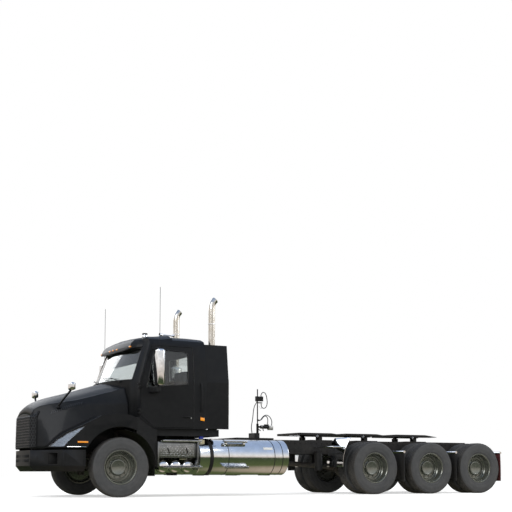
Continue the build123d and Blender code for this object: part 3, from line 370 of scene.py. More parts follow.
# %% Finishes: metal
CHROME = finish("chrome", (0.86, 0.87, 0.88), 0.05, metal=1.0, dusty=0.10, top=1.2,
                brushed=(60.0, 30.0, 0.03, 0.09), bump=0.02)
ALUMINIUM = finish("polished aluminium", (0.80, 0.81, 0.82), 0.12, metal=1.0, dusty=0.16, top=1.0,
                   brushed=(190.0, 3.0, 0.06, 0.20), bump=0.03, second=(0.74, 0.745, 0.74))
BOX_SKIN = finish("tool box plate", (0.30, 0.305, 0.30), 0.34, metal=1.0, dusty=0.2, top=1.2,
                  brushed=(90.0, 60.0, 0.25, 0.4), bump=0.05)
TREADPLATE = finish("bright tread plate", (0.74, 0.75, 0.75), 0.2, metal=1.0, dusty=0.2, top=1.2,
                    brushed=(90.0, 60.0, 0.14, 0.3), bump=0.05)
WHEEL = finish("wheel enamel", (0.175, 0.185, 0.155), 0.2, metal=0.55, coat=0.7, dusty=0.34, top=1.3,
               ripple=40.0, bump=0.05, second=(0.15, 0.155, 0.13))
STACK_METAL = finish("brushed stack steel", (0.66, 0.64, 0.60), 0.2, metal=1.0,
                     brushed=(300.0, 300.0, 0.14, 0.3), bump=0.04, second=(0.55, 0.52, 0.46))
CAST = finish("cast iron", (0.055, 0.053, 0.05), 0.65, metal=0.3, dusty=0.4, top=1.1, cells=380.0, bump=0.9,
              second=(0.09, 0.075, 0.06))
PLATE = finish("greased plate steel", (0.03, 0.03, 0.03), 0.4, metal=0.7, brushed=(70.0, 20.0, 0.26, 0.6),
               bump=0.15, second=(0.016, 0.015, 0.014))
ZINC = finish("zinc fittings", (0.55, 0.55, 0.54), 0.35, metal=1.0, cells=500.0, bump=0.3,
              second=(0.42, 0.42, 0.4))
print("metals ready")

# %% Finishes: rubber, glass and lamps
RUBBER = finish("tyre rubber", (0.060, 0.0605, 0.061), 0.68, dusty=0.10, top=1.25, cells=520.0, bump=0.5,
                second=(0.072, 0.072, 0.071), specular=0.3)
TREAD = finish("worn tread", (0.026, 0.026, 0.026), 0.8, dusty=0.45, top=1.3, cells=420.0, bump=0.8,
               second=(0.038, 0.036, 0.033))
FLAP = finish("flap rubber", (0.012, 0.012, 0.012), 0.6, dusty=0.3, top=1.0, cells=260.0, bump=0.5)
FLAP_RED = finish("dark red flap", (0.10, 0.010, 0.012), 0.6, dusty=0.3, top=1.0, cells=260.0, bump=0.5)
HOSE = finish("hose rubber", (0.012, 0.012, 0.013), 0.42, cells=900.0, bump=0.3)
GLASS = finish("tinted cab glass", (0.74, 0.77, 0.76), 0.0, glass=1.0, specular=0.0)
LENS = finish("clear lens", (0.90, 0.94, 0.98), 0.02, glass=1.0)
SILVERED = finish("mirror glass", (0.80, 0.83, 0.84), 0.02, metal=1.0)
BUCKET = finish("lamp bucket", (0.30, 0.34, 0.40), 0.25, metal=0.6, cells=200.0, bump=0.3,
                second=(0.22, 0.25, 0.30))
LIGHT_BAR = finish("light bar", (0.72, 0.78, 0.86), 0.2, coat=1.0, glow=0.12, cells=500.0, bump=0.4,
                   second=(0.6, 0.66, 0.74))
AMBER = finish("amber lens", (0.85, 0.30, 0.015), 0.18, coat=1.0, glow=0.28, second=(0.62, 0.20, 0.01))
WHITE = finish("white strip", (0.78, 0.78, 0.75), 0.4, dusty=0.2, second=(0.7, 0.7, 0.67), cells=800.0,
               bump=0.2)
BLUE = finish("blue cap", (0.03, 0.06, 0.50), 0.45, cells=900.0, bump=0.3)
CREAM = finish("cream neck", (0.50, 0.44, 0.27), 0.5, cells=800.0, bump=0.2, dusty=0.2)
print(len(bpy.data.materials), "materials")

# %% [markdown]
# ## Carried-over CAD nodes
# Parts deep in the chassis keep their CAD mesh and only take a finish.  The others below are copied,
# merged and given small rounded edges, because every real edge catches a thin line of light.

# %% Finishes on the CAD nodes
KEPT_FINISH = {
    SATIN: ["frame_rails", "crossmembers", "coupling_seats", "suspension"],
    CAST: ["drive_axles", "front_axle", "driveline", "knuckle_left", "knuckle_right", "engine_block",
           "radiator"],
}
nodes = frame["nodes"]


def dress(name, look):
    """Give a CAD node its finish."""
    nodes[name].data.materials.clear()
    nodes[name].data.materials.append(look)


for look, names in KEPT_FINISH.items():
    for name in names:
        dress(name, look)
print(sum(len(names) for names in KEPT_FINISH.values()), "nodes dressed as they are")

# %% [markdown]
# ## A library of small makers
# Each maker returns plain lists of points and faces, in stations.  `piece` joins any number of them,
# closes their seams, turns their faces outwards, and puts the mesh on its body with its finish.

# %% Put a piece in the scene
def settle(made, look, body, angle=32.0, replaces=()):
    """Shade, finish and place an object on its body."""
    collect(made)
    made.data.materials.append(look)
    made.data.shade_smooth()
    made.data.set_sharp_from_angle(angle=math.radians(angle))
    if replaces:
        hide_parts(*replaces)
    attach(made, body)
    return made


def piece(name, shapes, look, body="chassis", angle=32.0, replaces=()):
    """One object at the origin from several (points, faces) shapes given in stations."""
    bm = bmesh.new()
    for points, faces in shapes:
        made = [bm.verts.new(row(p)) for p in points]
        for face in faces:
            bm.faces.new([made[i] for i in face])
    bmesh.ops.remove_doubles(bm, verts=bm.verts, dist=1e-5)
    bmesh.ops.recalc_face_normals(bm, faces=bm.faces)
    mesh = bpy.data.meshes.new(name)
    bm.to_mesh(mesh)
    bm.free()
    return settle(bpy.data.objects.new(name, mesh), look, body, angle, replaces)


print("pieces go to their bodies through piece()")

# %% [markdown]
# A box with broken edges is the commonest shape on a chassis.  Bevelling it here, once, saves a
# modifier on every bracket.

# %% Makers: block and prism
def lists(bm):
    """The points and faces of a bmesh, which is then freed."""
    bm.verts.ensure_lookup_table()
    bm.verts.index_update()
    shape = ([tuple(v.co) for v in bm.verts], [[v.index for v in f.verts] for f in bm.faces])
    bm.free()
    return shape


def soften(bm, edge, steps, **limits):
    """Round every edge of a bmesh."""
    bmesh.ops.bevel(bm, geom=bm.edges[:], offset=edge, segments=steps, affect="EDGES", profile=0.5, **limits)


def block(low, high, edge=0.004, steps=2):
    """A box between two corners with rounded edges."""
    bm = bmesh.new()
    bmesh.ops.create_cube(bm, size=1.0)
    for v in bm.verts:
        v.co = [low[i] + (v.co[i] + 0.5) * (high[i] - low[i]) for i in range(3)]
    soften(bm, min(edge, 0.45 * min(high[i] - low[i] for i in range(3))), steps)
    return lists(bm)


def prism(outline, axis, start, end, edge=0.004, steps=2):
    """An outline of pairs carried along X, Y or Z (0, 1, 2), with rounded edges."""
    bm = bmesh.new()
    rings = [[bm.verts.new([*p[:axis], s, *p[axis:]]) for p in outline] for s in (start, end)]
    bm.faces.new(rings[0])
    bm.faces.new(rings[1])
    for i in range(len(outline)):
        j = (i + 1) % len(outline)
        bm.faces.new((rings[0][i], rings[0][j], rings[1][j], rings[1][i]))
    bmesh.ops.recalc_face_normals(bm, faces=bm.faces)
    if edge:
        soften(bm, edge, steps, clamp_overlap=True)
    return lists(bm)


print("block and prism ready")

# %% [markdown]
# Tanks, wheels, caps and lamps are turned shapes: a profile swept round an axis.  A profile point on
# the axis makes one pole, which is closed with triangles.

# %% Maker: turned shape
def turned(profile, centre, axis=1, steps=48):
    """Turn (radius, along) points about an axis (0 X, 1 Y, 2 Z) through centre."""
    points, faces, rings = [], [], []
    for radius, along in profile:
        ring = []
        for k in range(steps if radius > 1e-6 else 1):
            turn = 2 * math.pi * k / steps
            spot = [0.0, 0.0, 0.0]
            spot[axis] = along
            spot[(axis + 1) % 3] = radius * math.cos(turn)
            spot[(axis + 2) % 3] = radius * math.sin(turn)
            ring.append(len(points))
            points.append(tuple(centre[i] + spot[i] for i in range(3)))
        rings.append(ring)
    for a, b in zip(rings, rings[1:]):
        for k in range(steps):
            n = (k + 1) % steps
            if len(a) == 1 and len(b) == 1:
                continue
            if len(a) == 1:
                faces.append([a[0], b[k], b[n]])
            elif len(b) == 1:
                faces.append([a[k], b[0], a[n]])
            else:
                faces.append([a[k], b[k], b[n], a[n]])
    return points, faces


def hoop(radius, proud, start, end, centre, axis, steps, ease=0.002):
    """A flat band round a turned shape, with eased outer edges."""
    ring = ((radius, start), (proud, start + ease), (proud, end - ease), (radius, end))
    return turned(ring, centre, axis, steps)


def flipped(shape):
    """The same shape on the other side of the vehicle."""
    points, faces = shape
    return [(x, -y, z) for x, y, z in points], [list(reversed(face)) for face in faces]


def on_side(shape, sign):
    """A left-hand shape, or its twin for the right."""
    return shape if sign > 0 else flipped(shape)


def pair(*shapes):
    """Shapes and their twins on the other side."""
    return [*shapes, *[flipped(shape) for shape in shapes]]


print("turned shapes ready")

# %% [markdown]
# Rods, pipes and hoses follow a line.  Blender's own curve bevel does that well, so this maker
# builds a curve, lets Blender turn it into a mesh, and throws the curve away.

# %% Maker: pipe
def curve_of(name, line, radius, smooth, sides, steps):
    """A curve with a round bevel along a line of points; smooth makes it a NURBS line."""
    curve = bpy.data.curves.new(name, "CURVE")
    curve.dimensions = "3D"
    curve.bevel_depth = radius
    curve.bevel_resolution = sides
    curve.use_fill_caps = True
    curve.resolution_u = steps
    spline = curve.splines.new("NURBS" if smooth else "POLY")
    spline.points.add(len(line) - 1)
    for spot, target in zip(spline.points, line):
        spot.co = (*target, 1.0)
    if smooth:
        spline.order_u = 3
        spline.use_endpoint_u = True
    return curve


def pipe(line, radius, smooth=False, sides=3, closed=False):
    """A round bar along a line of points."""
    curve = curve_of("line", line, radius, smooth, sides, 8)
    curve.splines[0].use_cyclic_u = closed
    holder = bpy.data.objects.new("line", curve)
    mesh = bpy.data.meshes.new_from_object(holder)
    shape = ([tuple(v.co) for v in mesh.vertices], [list(f.vertices) for f in mesh.polygons])
    bpy.data.objects.remove(holder)
    bpy.data.curves.remove(curve)
    bpy.data.meshes.remove(mesh)
    return shape


print("pipes ready")

# %% [markdown]
# Copies of CAD nodes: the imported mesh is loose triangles, so the copy is merged, its flat faces are
# dissolved into whole ones, and a Bevel modifier rounds what is left.

# %% Rounded copies of CAD nodes
def rounded(name, look, edge=0.004, limit=28.0, steps=2, flat=1.2):
    """A merged copy of a CAD node with rounded edges, standing for the node."""
    bm = bmesh.new()
    bm.from_mesh(nodes[name].data)
    bmesh.ops.remove_doubles(bm, verts=bm.verts, dist=2e-5)
    bmesh.ops.dissolve_degenerate(bm, edges=bm.edges, dist=1e-5)
    bmesh.ops.dissolve_limit(bm, angle_limit=math.radians(flat), verts=bm.verts, edges=bm.edges)
    mesh = bpy.data.meshes.new(f"{name}_finished")
    bm.to_mesh(mesh)
    bm.free()
    made = bpy.data.objects.new(mesh.name, mesh)
    bevel = made.modifiers.new("rounded edges", "BEVEL")
    bevel.width = edge
    bevel.segments = steps
    bevel.limit_method = "ANGLE"
    bevel.angle_limit = math.radians(limit)
    bevel.harden_normals = True
    bevel.use_clamp_overlap = True
    return settle(made, look, nodes[name]["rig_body"], 40.0, (name,))


# node, finish, edge radius
ROUNDED = (("cab_shell", BLACK, 0.006), ("cab_underframe", PLASTIC, 0.004), ("side_panels", BLACK, 0.006),
           *[(f"coupling_plate_{number}", PLATE, 0.004) for number in (1, 2, 3)])
for name, look, edge in ROUNDED:
    rounded(name, look, edge)
print(len(ROUNDED), "nodes with rounded edges")

# %% [markdown]
# ## Repeats made with Geometry Nodes
# Wheel nuts, tread blocks, mesh holes, bolts and the lugs on tread plate are one small part repeated
# by a rule.  Two trees do all of it: a ring and a grid.  Both end in Realize Instances and Set
# Material, because only real faces are exported.

# %% Geometry Nodes: parts in a ring
OBJECT, INT, FLOAT, MATERIAL = "NodeSocketObject", "NodeSocketInt", "NodeSocketFloat", "NodeSocketMaterial"


def start_tree(name, inputs):
    """An empty Geometry Nodes tree with a part, a material and other named inputs."""
    tree = bpy.data.node_groups.new(name, "GeometryNodeTree")
    tree.interface.new_socket("Geometry", in_out="OUTPUT", socket_type="NodeSocketGeometry")
    for label, kind in (("Part", OBJECT), ("Material", MATERIAL), *inputs):
        tree.interface.new_socket(label, in_out="INPUT", socket_type=kind)
    return tree, tree.nodes.new("NodeGroupInput").outputs


def finish_tree(tree, given, points, turn):
    """Stand a copy of the part on each point, make the copies real and give them the material."""
    part = node(tree, "GeometryNodeObjectInfo", Object=given["Part"]).outputs["Geometry"]
    copies = node(tree, "GeometryNodeInstanceOnPoints", Points=points, Instance=part, Rotation=turn)
    real = node(tree, "GeometryNodeRealizeInstances", copies.outputs[0]).outputs[0]
    paint = node(tree, "GeometryNodeSetMaterial", Geometry=real, Material=given["Material"])
    node(tree, "NodeGroupOutput", paint.outputs[0])
    print("tree", tree.name)


ring_tree, given = start_tree("Parts in a ring", (("Count", INT), ("Radius", FLOAT)))
circle = node(ring_tree, "GeometryNodeMeshCircle", Vertices=given["Count"], Radius=given["Radius"])
number = node(ring_tree, "GeometryNodeInputIndex").outputs[0]
turn = maths(ring_tree, "MULTIPLY", maths(ring_tree, "DIVIDE", number, given["Count"]), 2 * math.pi)
spin = node(ring_tree, "ShaderNodeCombineXYZ", Z=turn)
finish_tree(ring_tree, given, circle.outputs[0], spin.outputs[0])

# %% [markdown]
# The grid can shift every second column by half a step, as a mesh of hexagons needs, and can turn
# every second part, as the crossed lugs of tread plate need.

# %% Geometry Nodes: parts in a grid
grid_tree, given = start_tree("Parts in a grid", (("Count X", INT), ("Count Y", INT), ("Pitch X", FLOAT),
                                                  ("Pitch Y", FLOAT), ("Stagger", FLOAT), ("Turn", FLOAT)))
number = node(grid_tree, "GeometryNodeInputIndex").outputs[0]
nudged = maths(grid_tree, "ADD", number, 0.001)
column = maths(grid_tree, "FLOOR", maths(grid_tree, "DIVIDE", nudged, given["Count Y"]))
line = maths(grid_tree, "SUBTRACT", number, maths(grid_tree, "MULTIPLY", column, given["Count Y"]))
odd = maths(grid_tree, "MODULO", column, 2)
checker = maths(grid_tree, "MODULO", maths(grid_tree, "ADD", column, line), 2)
shift = maths(grid_tree, "MULTIPLY", maths(grid_tree, "MULTIPLY", odd, given["Stagger"]), given["Pitch Y"])
x = maths(grid_tree, "MULTIPLY", column, given["Pitch X"])
y = maths(grid_tree, "ADD", maths(grid_tree, "MULTIPLY", line, given["Pitch Y"]), shift)
spot = node(grid_tree, "ShaderNodeCombineXYZ", X=x, Y=y).outputs[0]
count = maths(grid_tree, "MULTIPLY", given["Count X"], given["Count Y"])
points = node(grid_tree, "GeometryNodePoints", Count=count, Position=spot).outputs[0]
turn = node(grid_tree, "ShaderNodeCombineXYZ", Z=maths(grid_tree, "MULTIPLY", checker, given["Turn"]))
finish_tree(grid_tree, given, points, turn.outputs[0])

# %% [markdown]
# A tree gives its shape only once it is evaluated.  This helper hangs a tree on a throwaway object,
# sets its inputs by their identifiers, reads the plain mesh back and returns it as points and faces.

# %% Read a tree's result
def carried(shape, frame_of):
    """The same shape carried by a matrix."""
    return [tuple(frame_of @ Vector(p)) for p in shape[0]], shape[1]


def grown(tree, part, look, frame_of=Matrix.Identity(4), **values):
    """The realised result of a tree for one small part, carried by a matrix into stations."""
    mesh = bpy.data.meshes.new("part")
    mesh.from_pydata(part[0], [], part[1])
    seed = bpy.data.objects.new("part", mesh)
    host = bpy.data.objects.new("host", bpy.data.meshes.new("host"))
    for made in (seed, host):
        collect(made)
    modifier = host.modifiers.new("repeat", "NODES")
    modifier.node_group = tree
    names = {s.name: s.identifier for s in tree.interface.items_tree if s.in_out == "INPUT"}
    settings = {name.replace("_", " "): value for name, value in values.items()}
    for label, value in {"Part": seed, "Material": look, **settings}.items():
        modifier[names[label]] = value
    graph = bpy.context.evaluated_depsgraph_get()
    result = bpy.data.meshes.new_from_object(host.evaluated_get(graph))
    shape = ([v.co.copy() for v in result.vertices], [list(f.vertices) for f in result.polygons])
    for made in (seed, host):
        bpy.data.objects.remove(made)
    bpy.data.meshes.remove(result)
    return carried(shape, frame_of)


HEX = [(math.cos(math.pi / 3 * k), math.sin(math.pi / 3 * k)) for k in range(6)]


def bolt(radius, tall):
    """A hexagon head with a chamfered top, standing on Z = 0."""
    rings = ((radius, 0.0), (radius, 0.75 * tall), (0.8 * radius, tall))
    points = [(r * x, r * y, z) for r, z in rings for x, y in HEX]
    faces = [[a + k, a + (k + 1) % 6, a + 6 + (k + 1) % 6, a + 6 + k] for a in (0, 6) for k in range(6)]
    return points, [*faces, list(range(12, 18)), list(range(5, -1, -1))]


def axes(origin, x, y):
    """A matrix that carries X and Y to the given directions and the origin to a place."""
    x, y = Vector(x).normalized(), Vector(y).normalized()
    turn = Matrix((x, y, x.cross(y))).transposed()
    return Matrix.Translation(origin) @ turn.to_4x4()


print("a bolt head has", len(bolt(0.01, 0.01)[1]), "faces")

# %% [markdown]
# ## Tyres
# A heavy tyre is 1.04 m tall on a 22.5 inch rim.  Its carcass is turned from a profile with the rings
# that a mould leaves on the sidewall.  Its tread is one row of blocks, repeated round the wheel.

# %% Tyre shapes
TYRE_RADIUS = 0.5193
# radius, half-width
CARCASS = ((0.2865, 0.094), (0.301, 0.099), (0.309, 0.110), (0.322, 0.119), (0.332, 0.1235),
           (0.336, 0.1265), (0.342, 0.1255), (0.372, 0.1345), (0.401, 0.1375), (0.412, 0.1385),
           (0.418, 0.1370),
           (0.428, 0.1372), (0.447, 0.1350), (0.462, 0.1325), (0.467, 0.1335), (0.479, 0.1315),
           (0.492, 0.1260), (0.503, 0.1190), (0.509, 0.1130))
CROWN = ((0.5105, 0.07), (0.511, 0.0), (0.5105, -0.07))
INSIDE = ((0.30, -0.06), (0.30, 0.06))


def carcass(centre):
    """The tyre without its blocks, turned about the axle."""
    profile = [*CARCASS, *CROWN, *[(r, -y) for r, y in reversed(CARCASS)], *INSIDE, CARCASS[0]]
    return turned([(r, centre[1] + y) for r, y in profile], (centre[0], 0, centre[2]), 1, 72)


BLOCKS = ((-0.116, -0.080, 0.0), (-0.074, -0.030, 0.006), (-0.024, 0.024, -0.006), (0.030, 0.074, 0.006),
          (0.080, 0.116, 0.0))       # from, to, slant of its edges
BLOCK_FOOT = 0.505
BLOCK_HALF = 0.0215
BLOCK_TAPER = 0.0015
SHOULDER_DROP = 0.006


def tread_row():
    """One pitch of the tread: five blocks side by side, in a frame where X points outwards."""
    points, faces = [], []
    for y0, y1, slant in BLOCKS:
        b = len(points)
        drop = SHOULDER_DROP if max(abs(y0), abs(y1)) > 0.079 else 0.0
        for x, pull in ((BLOCK_FOOT, 0.0), (TYRE_RADIUS, BLOCK_TAPER)):
            a, c = y0 + pull, y1 - pull
            for y, z in ((a, -BLOCK_HALF), (c, -BLOCK_HALF), (c, BLOCK_HALF), (a, BLOCK_HALF)):
                away = drop if pull and abs(y) > 0.1 else 0.0
                points.append((x - away, z + (slant if y == c else -slant), y))
        faces += [[b + 4, b + 5, b + 6, b + 7], [b, b + 1, b + 5, b + 4], [b + 1, b + 2, b + 6, b + 5],
                  [b + 2, b + 3, b + 7, b + 6], [b + 3, b, b + 4, b + 7], [b + 3, b + 2, b + 1, b]]
    return points, faces


TREAD_COUNT = 68
tread_ring = grown(ring_tree, tread_row(), TREAD, axes((0, 0, 0), (1, 0, 0), (0, 0, -1)),
                   Count=TREAD_COUNT, Radius=0.0001)
print("carcass faces", len(carcass((0, 0, 0))[1]), "tread faces", len(tread_ring[1]))

# %% [markdown]
# Each tyre is two pieces, the carcass and its blocks, because the sidewall is a paler rubber than the
# running face.  Twin tyres share one hub, so both ride on one body.

# %% Tyres on the wheels
# name, station, middles of its tyres, and its body, tyre node and rim node for a side
WHEELS = [("front", 0.0, (1.100,), "front_wheel_{}", "tyre_front_{}", "rim_front_{}")]
for number, station in enumerate(DRIVE_STATIONS, 1):
    WHEELS.append((f"drive{number}", station, (1.050, 0.710), f"drive_wheel_{number}_{{}}",
                   f"tyres_drive{number}_{{}}", f"rims_drive{number}_{{}}"))
for name, station, places, body, tyre_node, rim_node in WHEELS:
    for side, sign in SIDES:
        middles = [(station, sign * y, AXLE_Z) for y in places]
        rubber = [carcass(middle) for middle in middles]
        blocks = [carried(tread_ring, Matrix.Translation(middle)) for middle in middles]
        piece(f"tyre_{name}_{side}", rubber, RUBBER, body.format(side), 30, (tyre_node.format(side),))
        piece(f"tread_{name}_{side}", blocks, TREAD, body.format(side), 20)
print(2 * len(WHEELS), "wheel ends have tyres")

# %% [markdown]
# ## Wheels
# The discs are deep steel dishes in smooth enamel.  Seen from outside there is the rolled lip, the
# well, a raised ring, and a flat-faced cap over the hub.  The nuts stand in the trough between.

# %% Wheel shapes
DEEP = 0.170
LIP = 0.105                  # from the tyre's middle out to the lip
# radius, height below the lip
LIP_LINE = ((0.2870, 0.012), (0.3000, 0.012), (0.3000, 0.001), (0.2965, 0.0), (0.2860, 0.002),
            (0.2790, 0.010), (0.2765, 0.024))
# radius, height above the dish's floor
DISH_LINE = ((0.2755, 0.085), (0.2700, 0.050), (0.2560, 0.022), (0.2430, 0.013), (0.2300, 0.012),
             (0.2250, 0.020), (0.2230, 0.034), (0.2195, 0.0385), (0.2060, 0.0385), (0.2020, 0.034),
             (0.2000, 0.016),
             (0.1950, 0.006), (0.1500, 0.004), (0.1420, 0.008), (0.1400, 0.020))
CAP_LINE = ((0.1400, 0.020), (0.1390, 0.042), (0.1350, 0.0475), (0.1230, 0.0495), (0.1180, 0.0470),
            (0.0, 0.0470))
# radius, height above the tyre's middle
BARREL_LINE = ((0.2870, 0.093), (0.2860, 0.060), (0.2820, 0.020), (0.2820, -0.030), (0.2860, -0.070),
               (0.2870, -0.094), (0.3000, -0.094), (0.3000, -0.104), (0.2860, -0.104))


def wheel_line(centre, sign, line):
    """A profile of (radius, outboard) pairs turned about the axle."""
    x, y, z = centre
    return turned([(r, y + sign * a) for r, a in line], (x, 0, z), 1, 72)


def wheel_face(centre, sign):
    """Outboard face of a rim with its dish, from the lip in to the hub cap."""
    face = [(r, LIP - a) for r, a in LIP_LINE] + [(r, LIP - DEEP + a) for r, a in DISH_LINE]
    cap = [(r, LIP - DEEP + a) for r, a in CAP_LINE]
    return [wheel_line(centre, sign, line) for line in (face, cap)]


def barrel(centre, sign, inboard, wall=0.277):
    """Back of a rim: the drop-centre barrel and the inboard lip."""
    line = (*BARREL_LINE, (wall, -0.090), (wall - 0.004, inboard + 0.06), (0.235, inboard + 0.012),
            (0.12, inboard), (0.10, inboard - 0.03), (0.0, inboard - 0.03))
    return wheel_line(centre, sign, line)


print("the dish is", DEEP, "m deep")

# %% [markdown]
# Ten nuts hold each wheel.  The ring tree sets them on their circle.

# %% Wheels on their bodies
NUTS = 10
NUT_CIRCLE = 0.168
NUT_FOOT = 0.004             # above the dish's floor
nuts = grown(ring_tree, bolt(0.0155, 0.020), WHEEL, Count=NUTS, Radius=NUT_CIRCLE)
for name, station, places, body, tyre_node, rim_node in WHEELS:
    for side, sign in SIDES:
        middles = [(station, sign * y, AXLE_Z) for y in places]
        parts = [*wheel_face(middles[0], sign), barrel(middles[0], sign, -0.075)]
        if len(places) > 1:
            parts.append(barrel(middles[1], -sign, -0.1, 0.274))
        piece(f"wheel_{name}_{side}", parts, WHEEL, body.format(side), 28, (rim_node.format(side),))
        nut_y = sign * (places[0] + LIP - DEEP + NUT_FOOT)
        ring = carried(nuts, axes((station, nut_y, AXLE_Z), (1, 0, 0), (0, 0, -sign)))
        piece(f"nuts_{name}_{side}", [ring], WHEEL, body.format(side), 30)
print("wheels and", NUTS * 2 * len(WHEELS), "nuts")

# %% [markdown]
# ## Bonnet and bumper
# The bonnet is one moulding that tips forward with its fenders.  Its copy gets softer edges than the
# cab, and everything fixed to it rides on the same body, so it opens with the bonnet.

# %% Bonnet and bumper skins
for name, edge, limit in (("hood", 0.011, 9.0), ("bumper", 0.010, 14.0), ("roof_visor", 0.009, 9.0)):
    rounded(name, BLACK, edge, limit=limit, steps=3)
print("bonnet, bumper and visor are rounded")

# %% [markdown]
# The grille is a sheet of hexagon mesh in a slim frame.  One hexagon ring is repeated over a
# staggered grid, and a flat black sheet behind it hides the radiator; that sheet is painted shade,
# near-black where the depth behind the mesh would be dark.

# %% Grille
def hexagon_ring(outer, inner, deep):
    """A hexagonal washer lying on Z = 0, with straight walls."""
    rings = ((outer, 0), (inner, 0), (inner, deep), (outer, deep))
    points = [(r * y, r * x, z) for r, z in rings for x, y in HEX]
    faces = []
    for a, b in ((0, 6), (6, 12), (12, 18), (18, 0)):
        faces += [[a + k, a + (k + 1) % 6, b + (k + 1) % 6, b + k] for k in range(6)]
    return points, faces


CELL = 0.0275
NOSE_HALF = ((1.304, 0.568), (1.340, 0.534), (1.378, 0.492), (1.4005, 0.458), (1.4045, 0.400),
             (1.4065, 0.200), (1.4075, 0.0))       # the nose in plan, from the left end to the middle
NOSE_LINE = [(x, -y) for x, y in NOSE_HALF[:-1]] + list(reversed(NOSE_HALF))
LOW, HIGH, LEAN_FROM = 0.872, 1.492, 1.395


def on_nose(across, z, out):
    """A point of the grille: so far along the nose's plan from the middle, and so high."""
    runs = [math.dist(a, b) for a, b in zip(NOSE_LINE, NOSE_LINE[1:])]
    reach = across + sum(runs) / 2
    for (ax, ay), (bx, by), run in zip(NOSE_LINE, NOSE_LINE[1:], runs):
        if reach <= run or (bx, by) == NOSE_LINE[-1]:
            break
        reach -= run
    share = reach / run
    x, y = ax + (bx - ax) * share, ay + (by - ay) * share
    normal = ((by - ay) / run, (ax - bx) / run)
    above = max(0.0, z - LEAN_FROM)
    narrow = 1.0 - 0.09 * max(0.0, z - LOW) - 0.25 * above
    return (x + out * normal[0] - 0.62 * above, (y + out * normal[1]) * narrow, z + 0.3 * out * (above > 0))


ROWS, COLUMNS = 13, 21
washer = hexagon_ring(CELL / 0.866, CELL * 0.86, 0.009)
cells = grown(grid_tree, washer, PLASTIC, Count_X=ROWS, Count_Y=COLUMNS, Pitch_X=1.732 * CELL,
              Pitch_Y=2 * CELL, Stagger=0.5, Turn=0.0)
middle = CELL * (COLUMNS - 0.5)
placed = [on_nose(0.985 * (b - middle), LOW + 0.022 + 1.01 * a, abs(c) - 0.004) for a, b, c in cells[0]]
piece("grille_mesh", [(placed, cells[1])], MESH, "hood", 20, ("grille",))

GRILLE_HALF = 0.598
SPANS = 40
steps_across = [GRILLE_HALF * (2 * k / SPANS - 1) for k in range(SPANS + 1)]
sheet_z = (LOW, 1.13, LEAN_FROM, 1.440, HIGH)
wide = SPANS + 1
# The sheet and the block behind the mesh are painted shade: near-black where the grille's depth would be
# dark.
back = ([on_nose(a, z, -0.0015) for z in sheet_z for a in steps_across],
        [[wide * r + k, wide * r + k + 1, wide * (r + 1) + k + 1, wide * (r + 1) + k]
         for r in range(len(sheet_z) - 1) for k in range(SPANS)])
piece("grille_backing", [back, block((1.372, -0.398, 0.890), (1.380, 0.398, 1.393))], SHADOW, "hood")
round_it = [(a, LOW) for a in steps_across] + [(GRILLE_HALF, z) for z in sheet_z[1:]]
round_it += [(a, HIGH) for a in reversed(steps_across)]
round_it += [(-GRILLE_HALF, z) for z in reversed(sheet_z[1:-1])]
rim = pipe([on_nose(a, z, 0.001) for a, z in round_it], 0.005, closed=True)
piece("grille_frame", [rim], PLASTIC, "hood", 50)
print("grille of", ROWS * COLUMNS, "hexagons")

# %% [markdown]
# A head lamp is a clear cover over a bucket.  The cover is a copy of the CAD wedge in clear plastic;
# the bucket is the same wedge set back two centimetres, with a light bar and a thin upper line.

# %% Head lamps
def copy_of(name, back=0.0, inwards=0.0):
    """The points and faces of a CAD node in stations, moved back and inwards on each side."""
    points = []
    for v in nodes[name].data.vertices:
        side = 1 if v.co.y > 0 else -1
        points.append((v.co.x - AXLE_TO_MIDDLE - back, v.co.y - side * inwards, v.co.z))
    return points, [list(f.vertices) for f in nodes[name].data.polygons]


piece("headlamp_covers", [copy_of("headlamps")], LENS, "hood", 30, ("headlamps",))
piece("headlamp_buckets", [copy_of("headlamps", 0.022, 0.014)], BUCKET, "hood", 30)
bars = [pipe(((1.142, 0.690, 0.884), (1.060, 0.800, 0.886), (0.985, 0.900, 0.886)), 0.0085),
        pipe(((1.070, 0.780, 0.965), (0.950, 0.915, 1.055), (0.830, 1.020, 1.125)), 0.005)]
piece("headlamp_bars", pair(*bars), LIGHT_BAR, "hood")
print("two head lamps")

# %% [markdown]
# ## Bonnet skin
# The CAD bonnet is ruled between six sections.  Real sheet metal flows, so a smooth skin lies a few
# millimetres over it: each section's sizes are carried along by Catmull-Rom curves.

# %% The bonnet's sizes at any station
# station, half-width at the sill, at the shoulder, its height, at the crease, its height, crown
SECTIONS = ((1.400, 0.455, 0.455, 1.250, 0.425, 1.400, 1.450),
            (1.330, 0.530, 0.505, 1.330, 0.455, 1.530, 1.600),
            (1.110, 0.790, 0.600, 1.410, 0.520, 1.610, 1.722),
            (0.640, 0.950, 0.740, 1.600, 0.650, 1.690, 1.855),
            (0.050, 1.000, 0.900, 1.640, 0.790, 1.850, 2.030),
            (-0.275, 1.010, 0.965, 1.650, 0.885, 1.960, 2.095))
# station, height
CREST = ((1.400, 0.860), (1.190, 0.860), (1.080, 1.000), (0.950, 1.110), (0.800, 1.190), (0.640, 1.265),
         (0.375, 1.400), (0.068, 1.450), (-0.150, 1.430), (-0.400, 1.350))
SILL = 0.855
SKIN_LIFT = 0.003


